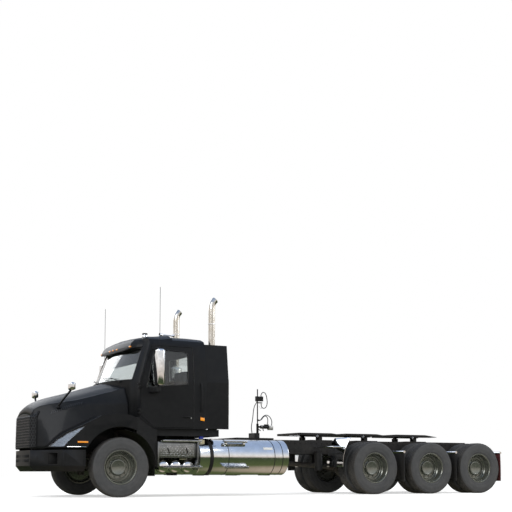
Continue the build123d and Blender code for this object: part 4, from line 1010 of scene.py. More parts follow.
def bonnet_at(x):
    """Sill, shoulder, its height, crease, its height and crown at a station."""
    spots = [s[0] for s in SECTIONS]
    i = max(k for k in range(len(spots) - 1) if x <= spots[k] or k == 0)
    a, b = SECTIONS[i], SECTIONS[i + 1]
    before, after = SECTIONS[max(i - 1, 0)], SECTIONS[min(i + 2, len(SECTIONS) - 1)]
    step = b[0] - a[0]
    t = (x - a[0]) / step
    sizes = []
    for k in range(1, 7):
        slope_a = (b[k] - before[k]) / (b[0] - before[0]) * step
        slope_b = (after[k] - a[k]) / (after[0] - a[0]) * step
        curve = (2 * t**3 - 3 * t**2 + 1) * a[k] + (t**3 - 2 * t**2 + t) * slope_a
        curve += (3 * t**2 - 2 * t**3) * b[k] + (t**3 - t**2) * slope_b
        sizes.append(max(curve, a[k] + (b[k] - a[k]) * t))
    return sizes


def crest_at(x):
    """Height of the fender's crest at a station."""
    for (ax, az), (bx, bz) in zip(CREST, CREST[1:]):
        if x >= bx:
            return az + (bz - az) * (x - ax) / (bx - ax)
    return CREST[-1][1]


print("bonnet at the axle:", [round(v, 3) for v in bonnet_at(0.0)])

# %% [markdown]
# A section of the skin is a line up the side, a soft shoulder, a sharp crease that stands a little
# proud, and an arc over the crown.  The last row follows the cab's bowed front.

# %% Skin
def bonnet_section(x):
    """Points of the skin's left half from the fender up to the middle."""
    sill, shoulder, shoulder_z, crease, crease_z, crown = bonnet_at(x)
    low = crest_at(x) - 0.020
    y = sill + (shoulder - sill) * (low - SILL) / (shoulder_z - SILL)
    corners = [Vector((y, low)), Vector((shoulder, shoulder_z)), Vector((crease, crease_z))]
    radius = (crease * crease + (crown - crease_z) ** 2) / (2 * (crown - crease_z))
    arc = [Vector((crease * (1 - k / 12), 0)) for k in range(1, 13)]
    for spot in arc:
        spot.y = crown - radius + math.sqrt(radius * radius - spot.x * spot.x)
    line = [corners[0].lerp(corners[1], k / 10) for k in range(10)]
    bends = ((corners[1], corners[2], 0.030, 0.0), (corners[2], arc[0], 0.010, 0.003))
    for corner, ahead, soft, proud in bends:
        back = corner + (line[-1] - corner).normalized() * soft
        front = corner + (ahead - corner).normalized() * soft
        lift = Vector((proud * 0.6, proud * 0.8))
        line += [back, back * 0.25 + corner * 0.5 + front * 0.25 + lift, front]
        if corner is corners[1]:
            line += [corners[1].lerp(corners[2], k / 5) for k in range(1, 5)]
    line += arc
    skin = []
    for k, spot in enumerate(line):
        run = (line[min(k + 1, len(line) - 1)] - line[max(k - 1, 0)]).normalized()
        skin.append((spot.x + SKIN_LIFT * run.y, spot.y - SKIN_LIFT * run.x))
    skin[-1] = (0.0, skin[-1][1])
    return skin


def bowed(y, half, bow):
    """How far an arc of this half-width and depth has fallen back at a width."""
    radius = (half * half + bow * bow) / (2 * bow)
    return math.sqrt(radius * radius - min(abs(y), half) ** 2) - radius


ALONG = 44
SKIN_FRONT, SKIN_REAR = 1.396, -0.004
rear_y = [y for y, _ in bonnet_section(SECTIONS[-1][0])]
points = []
for i in range(ALONG + 1):
    for j, y in enumerate(rear_y):
        x = SKIN_FRONT + (SKIN_REAR + bowed(y, 1.120, 0.300) - SKIN_FRONT) * (i / ALONG) ** 0.9
        points.append((x, *bonnet_section(x)[j]))
wide = len(rear_y)
faces = [[wide * i + j, wide * i + j + 1, wide * (i + 1) + j + 1, wide * (i + 1) + j]
         for i in range(ALONG) for j in range(wide - 1)]
skin = piece("bonnet_skin", pair((points, faces)), BLACK, "hood", 60)
inward = skin.modifiers.new("sheet", "SOLIDIFY")
inward.thickness = 0.0025
inward.offset = -1.0
print("skin of", 2 * len(faces), "faces")

# %% [markdown]
# Small lights and trim on the fender: an amber marker with a bright strip below it, and the slatted
# vent under the crease of the bonnet.

# %% Fender lights, vent and trim
def vent_point(along, across, lift=0.0):
    """A point on the vent's patch, lifted off the bonnet's skin."""
    x = 1.085 - 0.525 * along - 0.025 * across
    _, shoulder, shoulder_z, crease, crease_z, _ = bonnet_at(x)
    share = 0.04 + across * (0.34 + 0.15 * along)
    y, z = shoulder + (crease - shoulder) * share, shoulder_z + (crease_z - shoulder_z) * share
    return (x, y + 0.85 * (lift + SKIN_LIFT), z + 0.5 * (lift + SKIN_LIFT))


def vent_patch(corners, thick):
    """A flat patch of four corners with a thickness along the vent's outward direction."""
    points = [vent_point(*corner, lift) for lift in (thick, -0.012) for corner in corners]
    return points, [[0, 1, 2, 3], [7, 6, 5, 4], [0, 4, 5, 1], [1, 5, 6, 2], [2, 6, 7, 3], [3, 7, 4, 0]]


piece("fender_markers", pair(block((0.605, 1.222, 0.932), (0.790, 1.2395, 0.962), 0.005)), AMBER, "hood")
strip = [(0.930, 1.098, 0.866), (0.780, 1.176, 0.866), (0.700, 1.222, 0.866), (0.640, 1.235, 0.866)]
piece("fender_strips", pair(pipe(strip, 0.0065)), CHROME, "hood")
SLATS = 16
slats = [vent_patch(((a, 0.05), (a + 0.018, 0.05), (a + 0.035, 0.95), (a + 0.017, 0.95)), 0.006)
         for a in [k / SLATS for k in range(SLATS)]]
# The patch under the slats is painted shade: near-black where the vent's depth would be dark.
piece("bonnet_vents", pair(vent_patch(((0, 0), (1, 0), (1, 1), (0, 1)), 0.0015)), SHADOW, "hood")
piece("bonnet_vent_slats", pair(*slats), MESH, "hood")
print("vent with", SLATS, "slats")

# %% [markdown]
# The bumper carries slots for air, a square towing socket, and a pair of round fog lamps in a recess.
# Behind every opening sits a dark box, so nothing shows through; in the slots and sockets it is painted
# shade.

# %% Bumper openings
SLOT_PITCH = 0.0475
BUMPER_FRONT = 1.4146
# The slots and the towing sockets are near-black blocks of painted shade that stand for their depth.
slots = []
for y in [SLOT_PITCH * k for k in range(-8, 9)]:
    face = BUMPER_FRONT - 0.012 * (abs(y) / 0.46) ** 2
    slots += [block((1.390, y - 0.014, z), (face, y + 0.014, z + 0.052)) for z in (0.610, 0.690)]
piece("bumper_slots", slots, SHADOW)
socket = prism(((1.336, 0.530), (1.296, 0.592), (1.290, 0.588), (1.330, 0.526)), 2, 0.645, 0.715, 0.003)
piece("bumper_sockets", pair(socket), SHADOW)
floor_plan = ((0.952, 0.772), (1.158, 0.772), (1.047, 0.950), (0.952, 0.950))
recess = [block((0.951, 0.772, 0.562), (0.960, 0.950, 0.782)),
          prism(floor_plan, 2, 0.562, 0.5745, 0), prism(floor_plan, 2, 0.7655, 0.778, 0),
          block((0.952, 0.770, 0.566), (1.158, 0.7795, 0.776), 0.001),
          block((0.952, 0.9455, 0.566), (1.050, 0.952, 0.776), 0.001)]
piece("fog_recess", pair(*recess), PLASTIC)
FOG_Y = 0.885
BOWL = ((0.0, 0.962), (0.030, 0.968), (0.050, 0.985), (0.056, 1.004), (0.060, 1.010), (0.060, 0.965),
        (0.0, 0.958))
COVER = ((0.0, 1.0145), (0.028, 1.0130), (0.050, 1.008), (0.056, 1.002), (0.0, 1.000))
bowls, covers = [[turned(line, (0, FOG_Y, z), 0, 32) for z in (0.702, 0.612)] for line in (BOWL, COVER)]
piece("fog_lamp_bowls", pair(*bowls), CHROME, "chassis", 30, ("fog_lamps",))
piece("fog_lamp_covers", pair(*covers), LENS)
print("bumper with", len(slots), "slots")

# %% [markdown]
# ## Mirrors
# Each door carries a tall mirror in a bright shell with a rod aerial on top, and each fender a small
# one.  A shell is a box with very round edges and a pane of mirror set in its rear.

# %% Door mirrors
AERIAL = (-0.612, 1.423)
shell = block((-0.662, 1.300, 1.945), (-0.540, 1.545, 2.585), 0.034, 5)
pane = block((-0.6665, 1.316, 1.965), (-0.6600, 1.529, 2.565), 0.004)
upper = ((-0.600, 1.135, 2.612), (-0.600, 1.300, 2.618), (-0.600, 1.420, 2.612), (-0.600, 1.422, 2.560))
foot = ((-0.500, 1.205), (-0.680, 1.205), (-0.640, 1.440), (-0.565, 1.440))
arms = [pipe(upper, 0.0125, True), pipe(((-0.602, 1.420, 1.880), (-0.600, 1.421, 1.965)), 0.0125),
        prism(foot, 2, 1.832, 1.925, 0.012, 3)]
nut = ((0.0, 2.640), (0.010, 2.638), (0.013, 2.61), (0.013, 2.575), (0.0, 2.575))
aerial = [pipe(((*AERIAL, 2.585), (*AERIAL, 3.697)), 0.0042), turned(nut, (*AERIAL, 0), 2, 16)]
for side, sign in SIDES:
    body = f"door_{side}"
    piece(f"mirror_shell_{side}", [on_side(shell, sign)], CHROME, body, 50, (f"mirror_{side}",))
    piece(f"mirror_pane_{side}", [on_side(pane, sign)], SILVERED, body)
    piece(f"mirror_arms_{side}", [on_side(s, sign) for s in arms], PLASTIC, body)
    piece(f"mirror_aerial_{side}", [on_side(s, sign) for s in aerial], PLASTIC, body)
print("door mirrors ready")

# %% Fender mirrors
small = block((0.836, 1.030, 1.828), (0.924, 1.200, 1.966), 0.036, 5)
small_pane = block((0.8315, 1.045, 1.842), (0.8375, 1.186, 1.952), 0.003)
rod = ((0.880, 1.100, 1.842), (0.900, 0.980, 1.775), (0.950, 0.700, 1.622), (0.958, 0.648, 1.580))
boss = ((0.0, 1.600), (0.022, 1.596), (0.034, 1.580), (0.038, 1.555), (0.0, 1.552))
piece("fender_mirror_shells", pair(small), CHROME, "hood", 50, ("hood_mirrors",))
piece("fender_mirror_panes", pair(small_pane), SILVERED, "hood")
stems = pair(pipe(rod, 0.0180, True), turned(boss, (0.958, 0.636, 0), 2, 24))
piece("fender_mirror_arms", stems, PLASTIC, "hood")
print("fender mirrors ready")

# %% [markdown]
# ## Cab
# The inner faces of the cab and doors are lined in pale cloth and grey trim, so a second finish goes
# on every face that looks towards the middle of the cab.

# %% Line the cab
CAB_MIDDLE = row((-0.85, 0.0, 2.05))
CAB_FLOOR, CAB_INSIDE = 1.22, 1.19


def line_inside(made, look):
    """Give the faces that look inwards a second finish."""
    made.data.materials.append(look)
    count = 0
    for face in made.data.polygons:
        inwards = face.normal.dot((CAB_MIDDLE - face.center).normalized()) > 0.12
        if inwards and face.center.z > CAB_FLOOR and abs(face.center.y) < CAB_INSIDE:
            face.material_index = 1
            count += 1
    return count


print("cab faces lined:", line_inside(bpy.data.objects["cab_shell_finished"], LINING))
for side, sign in SIDES:
    print("door faces lined:", line_inside(rounded(f"door_{side}", BLACK, 0.006), TRIM))
    dress(f"door_glass_{side}", GLASS)
dress("cab_glass", GLASS)

# %% [markdown]
# Rubber seals frame each pane.  Their lines follow the cab's surface: the sides lean in above the
# belt, and the front is a shallow arc, so two small functions say where the surface is.

# %% Window seals
CAB_HALF, CAB_TOP_HALF, BELT, EAVES = 1.215, 1.125, 2.060, 2.760
COWL, HEADER, COWL_BOW, HEADER_BOW = -0.015, -0.360, 0.300, 0.170
CAB_CORNER = 0.095           # the front's arc starts this far in from the side


def lean(z, low, high):
    """A value at the belt carried towards another at the eaves."""
    return low + (high - low) * max(0.0, (z - BELT) / (EAVES - BELT))


def side_y(z):
    """Half-width of the cab at a height."""
    return lean(z, CAB_HALF, CAB_TOP_HALF)


def front_x(y, z):
    """Station of the cab's bowed front."""
    return lean(z, COWL, HEADER) + bowed(y, side_y(z) - CAB_CORNER, lean(z, COWL_BOW, HEADER_BOW))


def along(corners, steps, carry):
    """A closed line through corners, divided so that it can follow a curved surface."""
    line = []
    for a, b in zip(corners, corners[1:] + corners[:1]):
        line += [carry(*(p + (q - p) * k / steps for p, q in zip(a, b))) for k in range(steps)]
    return line


SEAL_SUNK = 0.004
WINDOW = [(-0.455, 1.925), (-1.262, 2.005), (-1.275, 2.560), (-1.235, 2.598), (-0.625, 2.632)]
FRONT_PANE = [(1.010, 2.070), (0.955, 2.655), (-0.955, 2.655), (-1.010, 2.070)]
REAR_PANE = [(0.450, 2.180), (0.450, 2.610), (-0.450, 2.610), (-0.450, 2.180)]
side_seal = pipe(along(WINDOW, 4, lambda x, z: (x, side_y(z) - SEAL_SUNK, z)), 0.0085, closed=True)
for side, sign in SIDES:
    piece(f"window_seal_{side}", [on_side(side_seal, sign)], FLAP, f"door_{side}", 60)
front_seal = pipe(along(FRONT_PANE, 14, lambda y, z: (front_x(y, z) - SEAL_SUNK, y, z)), 0.010, closed=True)
rear_seal = pipe(along(REAR_PANE, 3, lambda y, z: (-1.630, y, z)), 0.008, closed=True)
piece("windshield_seal", [front_seal, rear_seal], FLAP, "chassis", 60)
print("four panes have seals")

# %% [markdown]
# Two wipers park along the foot of the windshield.  Each has an arm, a rubber blade that follows the
# glass, and a small box over its spindle.

# %% Wipers
BLADE, BLADE_RISE, BLADE_STEPS = 0.62, 0.05, 6
wipers = []
for start in (0.72, -0.10):
    line = []
    for share in [k / BLADE_STEPS for k in range(BLADE_STEPS + 1)]:
        y, z = start - BLADE * share, 2.090 + BLADE_RISE * share
        line.append((front_x(y, z) + 0.020, y, z + 0.005))
    x = front_x(start, 2.06) + 0.016
    elbow = (line[2][0] + 0.018, line[2][1], line[2][2] + 0.012)
    wipers += [pipe(line, 0.0055), pipe(((x, start + 0.02, 2.055), elbow, line[3]), 0.0065),
               block((x - 0.02, start - 0.005, 2.035), (x + 0.012, start + 0.045, 2.065), 0.006)]
piece("wipers", wipers, PLASTIC)
print("two wipers")

# %% [markdown]
# Small things on the cab: pull handles with bright locks, amber lamps, grab rails, five roof markers,
# the beacon and the air horn.  They are what a driver touches, so each is its own little shape.

# %% Door furniture and lamps
# The cup behind each grip is painted shade: a near-black plate where the handle's recess would be dark.
cup = block((-1.335, 1.196, 1.372), (-1.135, 1.2165, 1.442), 0.008)
grip = pipe(((-1.150, 1.216, 1.425), (-1.165, 1.236, 1.425), (-1.290, 1.236, 1.422), (-1.310, 1.217, 1.422)),
            0.009, True)
key = turned(((0.0, 1.222), (0.012, 1.221), (0.014, 1.2140), (0.0, 1.2140)), (-1.322, 0, 1.400), 1, 16)
for side, sign in SIDES:
    piece(f"handle_cup_{side}", [on_side(cup, sign)], SHADOW, f"door_{side}")
    piece(f"handle_grip_{side}", [on_side(grip, sign)], PLASTIC, f"door_{side}", 50)
    piece(f"handle_lock_{side}", [on_side(key, sign)], ZINC, f"door_{side}")
lamp_line = ((-1.505, 1.365), (-1.585, 1.352), (-1.585, 1.408), (-1.505, 1.420))
piece("cab_side_lamps", pair(prism(lamp_line, 1, 1.212, 1.228, 0.005)), AMBER)
print("handles and side lamps")

# %% Roof lamps and beacon
def surface(name, start, direction):
    """Where a ray from a station point meets a CAD node, in stations."""
    mesh = nodes[name].data
    tree = BVHTree.FromPolygons([v.co for v in mesh.vertices], [list(f.vertices) for f in mesh.polygons])
    hit = tree.ray_cast(row(start), Vector(direction))[0]
    return (hit.x - AXLE_TO_MIDDLE, hit.y, hit.z)


roof_lamps = []
for y in (0.0, 0.186, 0.748, -0.186, -0.748):
    x, y, z = surface("roof_visor", (1.5, y, 2.688), (-1, 0, 0))
    roof_lamps.append(block((x - 0.02, y - 0.035, z - 0.014), (x + 0.006, y + 0.035, z + 0.014), 0.008, 3))
piece("roof_markers", roof_lamps, AMBER)
BEACON = (-0.898, 0, 0)
dome_line = ((0.0, 3.0545), (0.024, 3.052), (0.043, 3.040), (0.0505, 3.020), (0.0515, 2.965))
dome = turned(dome_line, BEACON, 2, 40)
collar = turned(((0.0515, 2.960), (0.060, 2.960), (0.062, 2.985), (0.0516, 2.990)), BEACON, 2, 40)
piece("beacon", [dome, collar], CHROME, "chassis", 40)
print("roof lamps and beacon")

# %% Air horn and rails
HORN_Y, HORN_Z = 0.400, 2.985
trumpet = ((0.0, -1.330), (0.022, -1.328), (0.026, -1.300), (0.012, -1.285), (0.012, -1.200),
           (0.018, -1.110), (0.034, -1.052), (0.044, -1.034), (0.041, -1.034), (0.012, -1.11), (0.0, -1.15))
feet = [pipe(((x, HORN_Y, 2.930), (x, HORN_Y, HORN_Z - 0.005)), 0.008) for x in (-1.09, -1.27)]
piece("air_horn", [turned(trumpet, (0, HORN_Y, HORN_Z), 0, 32), *feet], CHROME, "chassis", 40)
rail = [(-1.520, y, z) for y, z in ((1.212, 1.520), (1.262, 1.540), (1.262, 2.020), (1.208, 2.040))]
piece("grab_rails", pair(pipe(rail, 0.013, True, 4)), PLASTIC, "chassis", 50)
strips = [block((-2.082, 1.150, low), (-2.0765, 1.214, high), 0.002)
          for low, high in ((1.475, 1.815), (1.842, 2.130))]
piece("panel_strips", pair(*strips), WHITE)
print("horn, rails and strips")

# %% [markdown]
# ## Tanks, boxes and steps
# The side of the chassis is bright metal.  Tanks are turned shapes with a rolled rim at each dished
# end; straps are rings a few millimetres proud of them.

# %% Fuel tanks
TANK_Y, TANK_Z = 0.893, 0.710
TANK_AT = (0, TANK_Y, TANK_Z)
TANK_SIDE, TANK_STEPS = 0.3255, 96
TANK_ENDS = (-1.470, -3.384)
# radius, distance in from the end
TANK_HEAD = ((0.0, 0.0), (0.10, 0.001), (0.20, 0.006), (0.27, 0.017), (0.303, 0.031), (0.314, 0.040),
             (0.3275, 0.040), (0.3285, 0.047), (0.3275, 0.056), (0.326, 0.060))
skin = [(r, TANK_ENDS[0] - a) for r, a in TANK_HEAD]
skin += [(r, TANK_ENDS[1] + a) for r, a in reversed(TANK_HEAD)]
tanks = pair(turned(skin, TANK_AT, 0, TANK_STEPS))
piece("fuel_tank_shells", tanks, ALUMINIUM, "chassis", 40, ("fuel_tanks",))


def strap(x, wide, proud):
    """A flat band round the tank."""
    return hoop(TANK_SIDE, proud, x - wide, x + wide, TANK_AT, 0, TANK_STEPS)


piece("fuel_tank_straps", pair(strap(-1.744, 0.034, 0.3325)), SATIN, "chassis", 40)
LABEL_TURNS = (0.44, 0.49, 0.54, 0.59)
label = [(x, TANK_Y + r * math.cos(t), TANK_Z + r * math.sin(t))
         for r in (0.3280, 0.3300) for x in (-3.010, -2.820) for t in LABEL_TURNS]
sides = [[k, k + 1, k + 5, k + 4] for k in (0, 1, 2, 8, 9, 10)]
sides += [[k, k + 1, k + 9, k + 8] for k in (0, 1, 2, 4, 5, 6)]
sides += [[0, 4, 12, 8], [3, 7, 15, 11]]
piece("tank_labels", pair((label, sides)), WHITE)
seams = [strap(x, 0.008, 0.3285) for x in (-2.087, -3.045, -3.216)]
piece("fuel_tank_seams", pair(*seams), SATIN, "chassis", 40)
VENT_LINE = ((0.0, 1.052), (0.038, 1.052), (0.045, 1.047), (0.045, 1.020), (0.036, 1.018), (0.036, 1.000))
piece("fuel_tank_vents", pair(turned(VENT_LINE, (-1.900, 0.860, 0), 2, 32)), CHROME, "chassis", 40)
FILLER_X = -1.585
neck = block((-1.640, 0.980, 0.930), (-1.535, 1.120, 1.020), 0.012)
spout = turned(((0.046, 1.010), (0.046, 1.036), (0.030, 1.036)), (FILLER_X, 1.060, 0), 2, 32)
piece("filler_necks", pair(neck, spout), CREAM, "chassis", 40)
LID_LINE = ((0.0, 1.088), (0.036, 1.088), (0.043, 1.082), (0.043, 1.034), (0.0, 1.034))
piece("filler_caps", pair(turned(LID_LINE, (FILLER_X, 1.072, 0), 2, 24)), BLUE, "chassis", 40)
print("two fuel tanks")

# %% [markdown]
# Treads are plates with rows of punched buttons, so that a boot grips.  One button and the grid tree
# make every row.

# %% Steps and their buttons
BUTTON = turned(((0.009, 0.0), (0.0075, 0.0028), (0.0045, 0.0034), (0.0, 0.0034)), (0, 0, 0), 2, 10)
PLATES = (((-2.480, 1.090, 0.990), (-2.010, 1.180, 1.006)),
          ((-2.467, 1.180, 0.520), (-1.976, 1.268, 0.545)),
          ((-1.526, 1.095, 0.990), (-0.770, 1.250, 1.005)),
          ((-1.526, 1.185, 0.522), (-0.769, 1.262, 0.545)))
ALONG_PITCH, ACROSS_PITCH = 0.040, 0.038
steps, buttons = [], []
for low, high in PLATES:
    steps.append(block(low, high, 0.004))
    steps.append(block((low[0], high[1] - 0.006, low[2] - 0.018), high, 0.002))
    lines = 2 if high[1] - low[1] < 0.1 else 4
    carry = axes((low[0] + 0.022, low[1] + 0.022, high[2] - 0.0004), (1, 0, 0), (0, 1, 0))
    count = int((high[0] - low[0] - 0.03) / ALONG_PITCH)
    buttons.append(grown(grid_tree, BUTTON, TREADPLATE, carry, Count_X=count, Count_Y=lines,
                         Pitch_X=ALONG_PITCH, Pitch_Y=ACROSS_PITCH))
piece("steps", pair(*steps), TREADPLATE)
piece("step_buttons", pair(*buttons), TREADPLATE, "chassis", 50)
hangers = [block((x - 0.040, 1.090, 0.905), (x, 1.150, 0.992), 0.003) for x in (-2.040, -2.410)]
hangers += [block((x - 0.030, 1.120, 0.518), (x, 1.200, 0.543), 0.003) for x in (-2.000, -2.420)]
hangers += [block((x, 1.100, 0.960), (x + 0.035, 1.160, 0.995), 0.003) for x in (-0.802, -1.440)]
piece("step_brackets", pair(*hangers), ALUMINIUM)
print(len(PLATES) * 2, "steps")

# %% [markdown]
# The tool boxes are folded from tread plate.  The grid tree turns every other lug by a right angle,
# which is the pattern of the real plate.

# %% Tool boxes
QUARTER = math.pi / 2
DIAGONAL = math.sqrt(0.5)
lug_shape = block((-0.016, -0.0040, -0.001), (0.016, 0.0040, 0.0034), 0.0015, 1)
lug = ([(DIAGONAL * (x - y), DIAGONAL * (x + y), z) for x, y, z in lug_shape[0]], lug_shape[1])


def lug_field(look, place, x, y, columns, rows, pitch_x, pitch_y):
    """A plate's crossed lugs, from one corner along two directions."""
    return grown(grid_tree, lug, look, axes(place, x, y), Count_X=columns, Count_Y=rows, Pitch_X=pitch_x,
                 Pitch_Y=pitch_y, Turn=QUARTER)


box_shell = block((-1.440, 0.840, 0.690), (-0.690, 1.193, 0.965), 0.010, 3)
box_door = block((-1.424, 1.186, 0.704), (-0.706, 1.1955, 0.951), 0.003)
lugs = lug_field(TREADPLATE, (-0.735, 1.1952, 0.728), (-1, 0, 0), (0, 0, 1), 22, 7, 0.031, 0.033)
lid_lugs = lug_field(TREADPLATE, (-1.415, 0.870, 0.9648), (1, 0, 0), (0, 1, 0), 23, 7, 0.031, 0.033)
ends = [block((-1.462, 0.900, 0.480), (-1.441, 1.240, 0.990), 0.003),
        block((-0.700, 0.900, 0.520), (-0.672, 1.240, 0.970), 0.003)]
piece("tool_box_shells", pair(box_shell, box_door, *ends), BOX_SKIN, "chassis", 32, ("tool_boxes",))
piece("tool_box_lugs", pair(lugs, lid_lugs), TREADPLATE, "chassis", 40)
piece("tool_box_carriers", pair(block((-1.440, 0.430, 0.800), (-0.690, 0.845, 0.960), 0.005)), SATIN)
LATCH_LINE = ((-0.010, 0.865), (0.012, 0.865), (-0.022, 0.765), (-0.044, 0.765))
latches = [prism([(x + a, z) for a, z in LATCH_LINE], 1, 1.194, 1.204, 0.003) for x in (-0.88, -1.24)]
piece("tool_box_latches", pair(*latches), SATIN)
print("two tool boxes")

# %% Air tanks
BOTTLE_Z = 0.543
BOTTLE_END = 1.685           # both heads' lines add up to this, so they face each other
dish = ((0.0, 0.560), (0.040, 0.562), (0.080, 0.572), (0.103, 0.590), (0.113, 0.612), (0.116, 0.640))
shell = [*dish, *[(r, BOTTLE_END - a) for r, a in reversed(dish)]]
bottles, bands = [], []
for x in (-0.845, -1.085, -1.325):
    centre = (x, 0, BOTTLE_Z)
    bottles.append(turned(shell, centre, 1, 56))
    bottles.append(turned(((0.014, 1.120), (0.014, 1.1285), (0.0, 1.129)), centre, 1, 12))
    bands += [hoop(0.1155, 0.1185, y - 0.016, y + 0.016, centre, 1, 56, ease=0.001) for y in (0.690, 0.990)]
    bands.append(block((x - 0.030, 0.600, 0.640), (x + 0.030, 0.640, 0.800), 0.003))
    bands.append(block((x - 0.030, 0.430, 0.770), (x + 0.030, 0.640, 0.798), 0.003))
piece("air_bottles", pair(*bottles), CHROME, "chassis", 40, ("air_tanks",))
piece("air_bottle_bands", pair(*bands), SATIN, "chassis", 40)
print("six air bottles")

# %% [markdown]
# ## Exhaust stacks
# A straight pipe that bends rearwards at the tip, a muffler round its lower part, and a slotted
# guard: rows of slots from the ring tree.  The slots and the open mouth are near-black painted shade.

# %% Stacks
STACK_X, STACK_Y = -1.907, 0.826
STACK = (STACK_X, STACK_Y)
STACK_BASE = (*STACK, 0)
BEND = ((-1.925, STACK_Y, 3.605), (-1.979, STACK_Y, 3.657))
tube = pipe(((*STACK, 1.205), (*STACK, 2.60), (*STACK, 3.40), (*STACK, 3.52), *BEND), 0.062, True, 12)
# The mouth is a near-black disc of painted shade that stands for the open pipe.
mouth = pipe(((-1.9700, STACK_Y, 3.6483), (-1.9800, STACK_Y, 3.6580)), 0.056, False, 12)
MUFFLER_LINE = ((0.062, 1.262), (0.092, 1.270), (0.116, 1.284), (0.125, 1.304), (0.125, 2.486),
                (0.116, 2.506), (0.092, 2.520), (0.062, 2.528))
muffler = turned(MUFFLER_LINE, STACK_BASE, 2, 64)
CLAMP_TALL = 0.028
clamps = [hoop(0.0615, 0.068, z, z + CLAMP_TALL, STACK_BASE, 2, 48) for z in (1.222, 2.545, 3.180)]
clamps += [hoop(0.1245, 0.1285, z, z + CLAMP_TALL, STACK_BASE, 2, 64) for z in (1.330, 2.430)]
SLOT_ROWS, SLOT_COUNT, SLOT_RISE = 11, 24, 0.094
# Each slot is a near-black block of painted shade on the muffler.
slot = block((-0.001, -0.006, -0.032), (0.0012, 0.006, 0.032), 0.0004, 1)
heights = [Matrix.Translation((*STACK, 1.440 + SLOT_RISE * k)) for k in range(SLOT_ROWS)]
rows = [grown(ring_tree, slot, SHADOW, at, Count=SLOT_COUNT, Radius=0.1248) for at in heights]
piece("stack_pipes", pair(tube, muffler), STACK_METAL, "chassis", 50, ("exhaust_stacks",))
piece("stack_clamps", pair(*clamps), CHROME, "chassis", 40)
piece("stack_slots", pair(*rows), SHADOW)
piece("stack_mouths", pair(mouth), SHADOW)
piece("stack_feet", pair(block((-1.977, 0.736, 1.205), (-1.817, 0.916, 1.217), 0.002)), SATIN)
print("two stacks with", SLOT_ROWS, "rows of slots")

# %% [markdown]
# ## Frame, deck and coupling plates
# Bolts along the frame rails, lugs on the deck plate behind the cab, and a pull handle on each
# coupling plate.

# %% Bolts and lugs
on_rail = axes((-3.560, 0.4298, 0.850), (-1, 0, 0), (0, 0, 1))
rail_bolts = grown(grid_tree, bolt(0.013, 0.011), ZINC, on_rail, Count_X=36, Count_Y=2, Pitch_X=0.125,
                   Pitch_Y=0.160)
piece("rail_bolts", pair(rail_bolts), SATIN)
deck_lugs = lug_field(SATIN, (-3.425, -0.405, 1.0948), (1, 0, 0), (0, 1, 0), 25, 26, 0.032, 0.0324)
piece("deck_lugs", [deck_lugs], SATIN)
PLATE_MIDDLES = (-4.550, -5.642, -6.890)
for number, middle in enumerate(PLATE_MIDDLES, start=1):
    x = middle + 0.16
    pull = pipe(((x, 0.300, 1.160), (x, 0.480, 1.160), (x, 0.520, 1.150)), 0.008)
    turns = [math.pi * k / 6 for k in range(12)]
    eye = [(x, 0.540 + 0.022 * math.cos(a), 1.148 + 0.022 * math.sin(a)) for a in turns]
    parts = [pull, pipe(eye, 0.006, closed=True)]
    piece(f"release_pull_{number}", parts, ZINC, f"coupling_plate_{number}", 50)
print("bolts, lugs and pulls")

# %% [markdown]
# ## Hose stand and hoses
# The mast is the CAD node with broken edges.  Its four hoses are soft, so each is one NURBS line
# through the route's own control points, with a zinc ferrule at each end.

# %% Stand
rounded("hose_stand", SATIN, 0.0022)
head = block((-3.672, -0.040, 1.273), (-3.562, 0.018, 1.3625), 0.006, 3)
collar = turned(((0.036, -3.400), (0.036, -3.412), (0.0345, -3.414)), (0, 0.004, 1.330), 0, 32)
stud = ((0.0, 1.945), (0.010, 1.945), (0.012, 1.941), (0.012, 1.937))
studs = [turned(stud, (x, 0.0, 0), 2, 12) for x in (-3.420, -3.300)]
piece("stand_fittings", [head, collar, *studs], ZINC)
LINKS = 9
CHAIN_TOP, CHAIN_FOOT = Vector((-3.352, 0.016, 1.742)), Vector((-3.405, 0.016, 1.700))
CHAIN_SAG = 0.012
LINK_HALF, LINK_WIDE = 0.0055, 0.0045
links = []
for k in range(LINKS):
    share = k / (LINKS - 1)
    mid = CHAIN_TOP.lerp(CHAIN_FOOT, share)
    mid.z -= CHAIN_SAG * math.sin(math.pi * share)
    across, tall = (LINK_WIDE, 0.0) if k % 2 else (0.0, LINK_WIDE)
    ring = [(mid.x + LINK_HALF * math.cos(a), mid.y + across * math.sin(a), mid.z + tall * math.sin(a))
            for a in [math.pi * j / 4 for j in range(8)]]
    links.append(pipe(ring, 0.0012, closed=True))
piece("parking_chain", links, ZINC, "chassis", 60)
print("stand and chain")

# %% Hoses
SUPPLY = ((-3.197, 0, 1.209), (-3.197, 0, 1.232), (-3.187, 0, 1.272), (-3.185, 0, 1.330), (-3.195, 0, 1.395),
          (-3.209, 0, 1.460), (-3.219, 0, 1.530), (-3.226, 0, 1.605), (-3.236, 0, 1.675), (-3.250, 0, 1.730),
          (-3.270, 0, 1.772), (-3.290, 0, 1.796), (-3.301, 0, 1.816), (-3.301, 0, 1.838))
UPPER = ((-3.402, 0, 1.943), (-3.402, 0, 1.960), (-3.411, -0.004, 1.986), (-3.432, -0.012, 2.012),
         (-3.468, -0.026, 2.029), (-3.508, -0.040, 2.022), (-3.540, -0.050, 1.992), (-3.560, -0.057, 1.946),
         (-3.572, -0.060, 1.888), (-3.576, -0.058, 1.828), (-3.565, -0.052, 1.776), (-3.540, -0.043, 1.734),
         (-3.502, -0.031, 1.709), (-3.460, -0.018, 1.704), (-3.426, -0.008, 1.722), (-3.410, -0.002, 1.752),
         (-3.407, 0, 1.778), (-3.407, 0, 1.797))
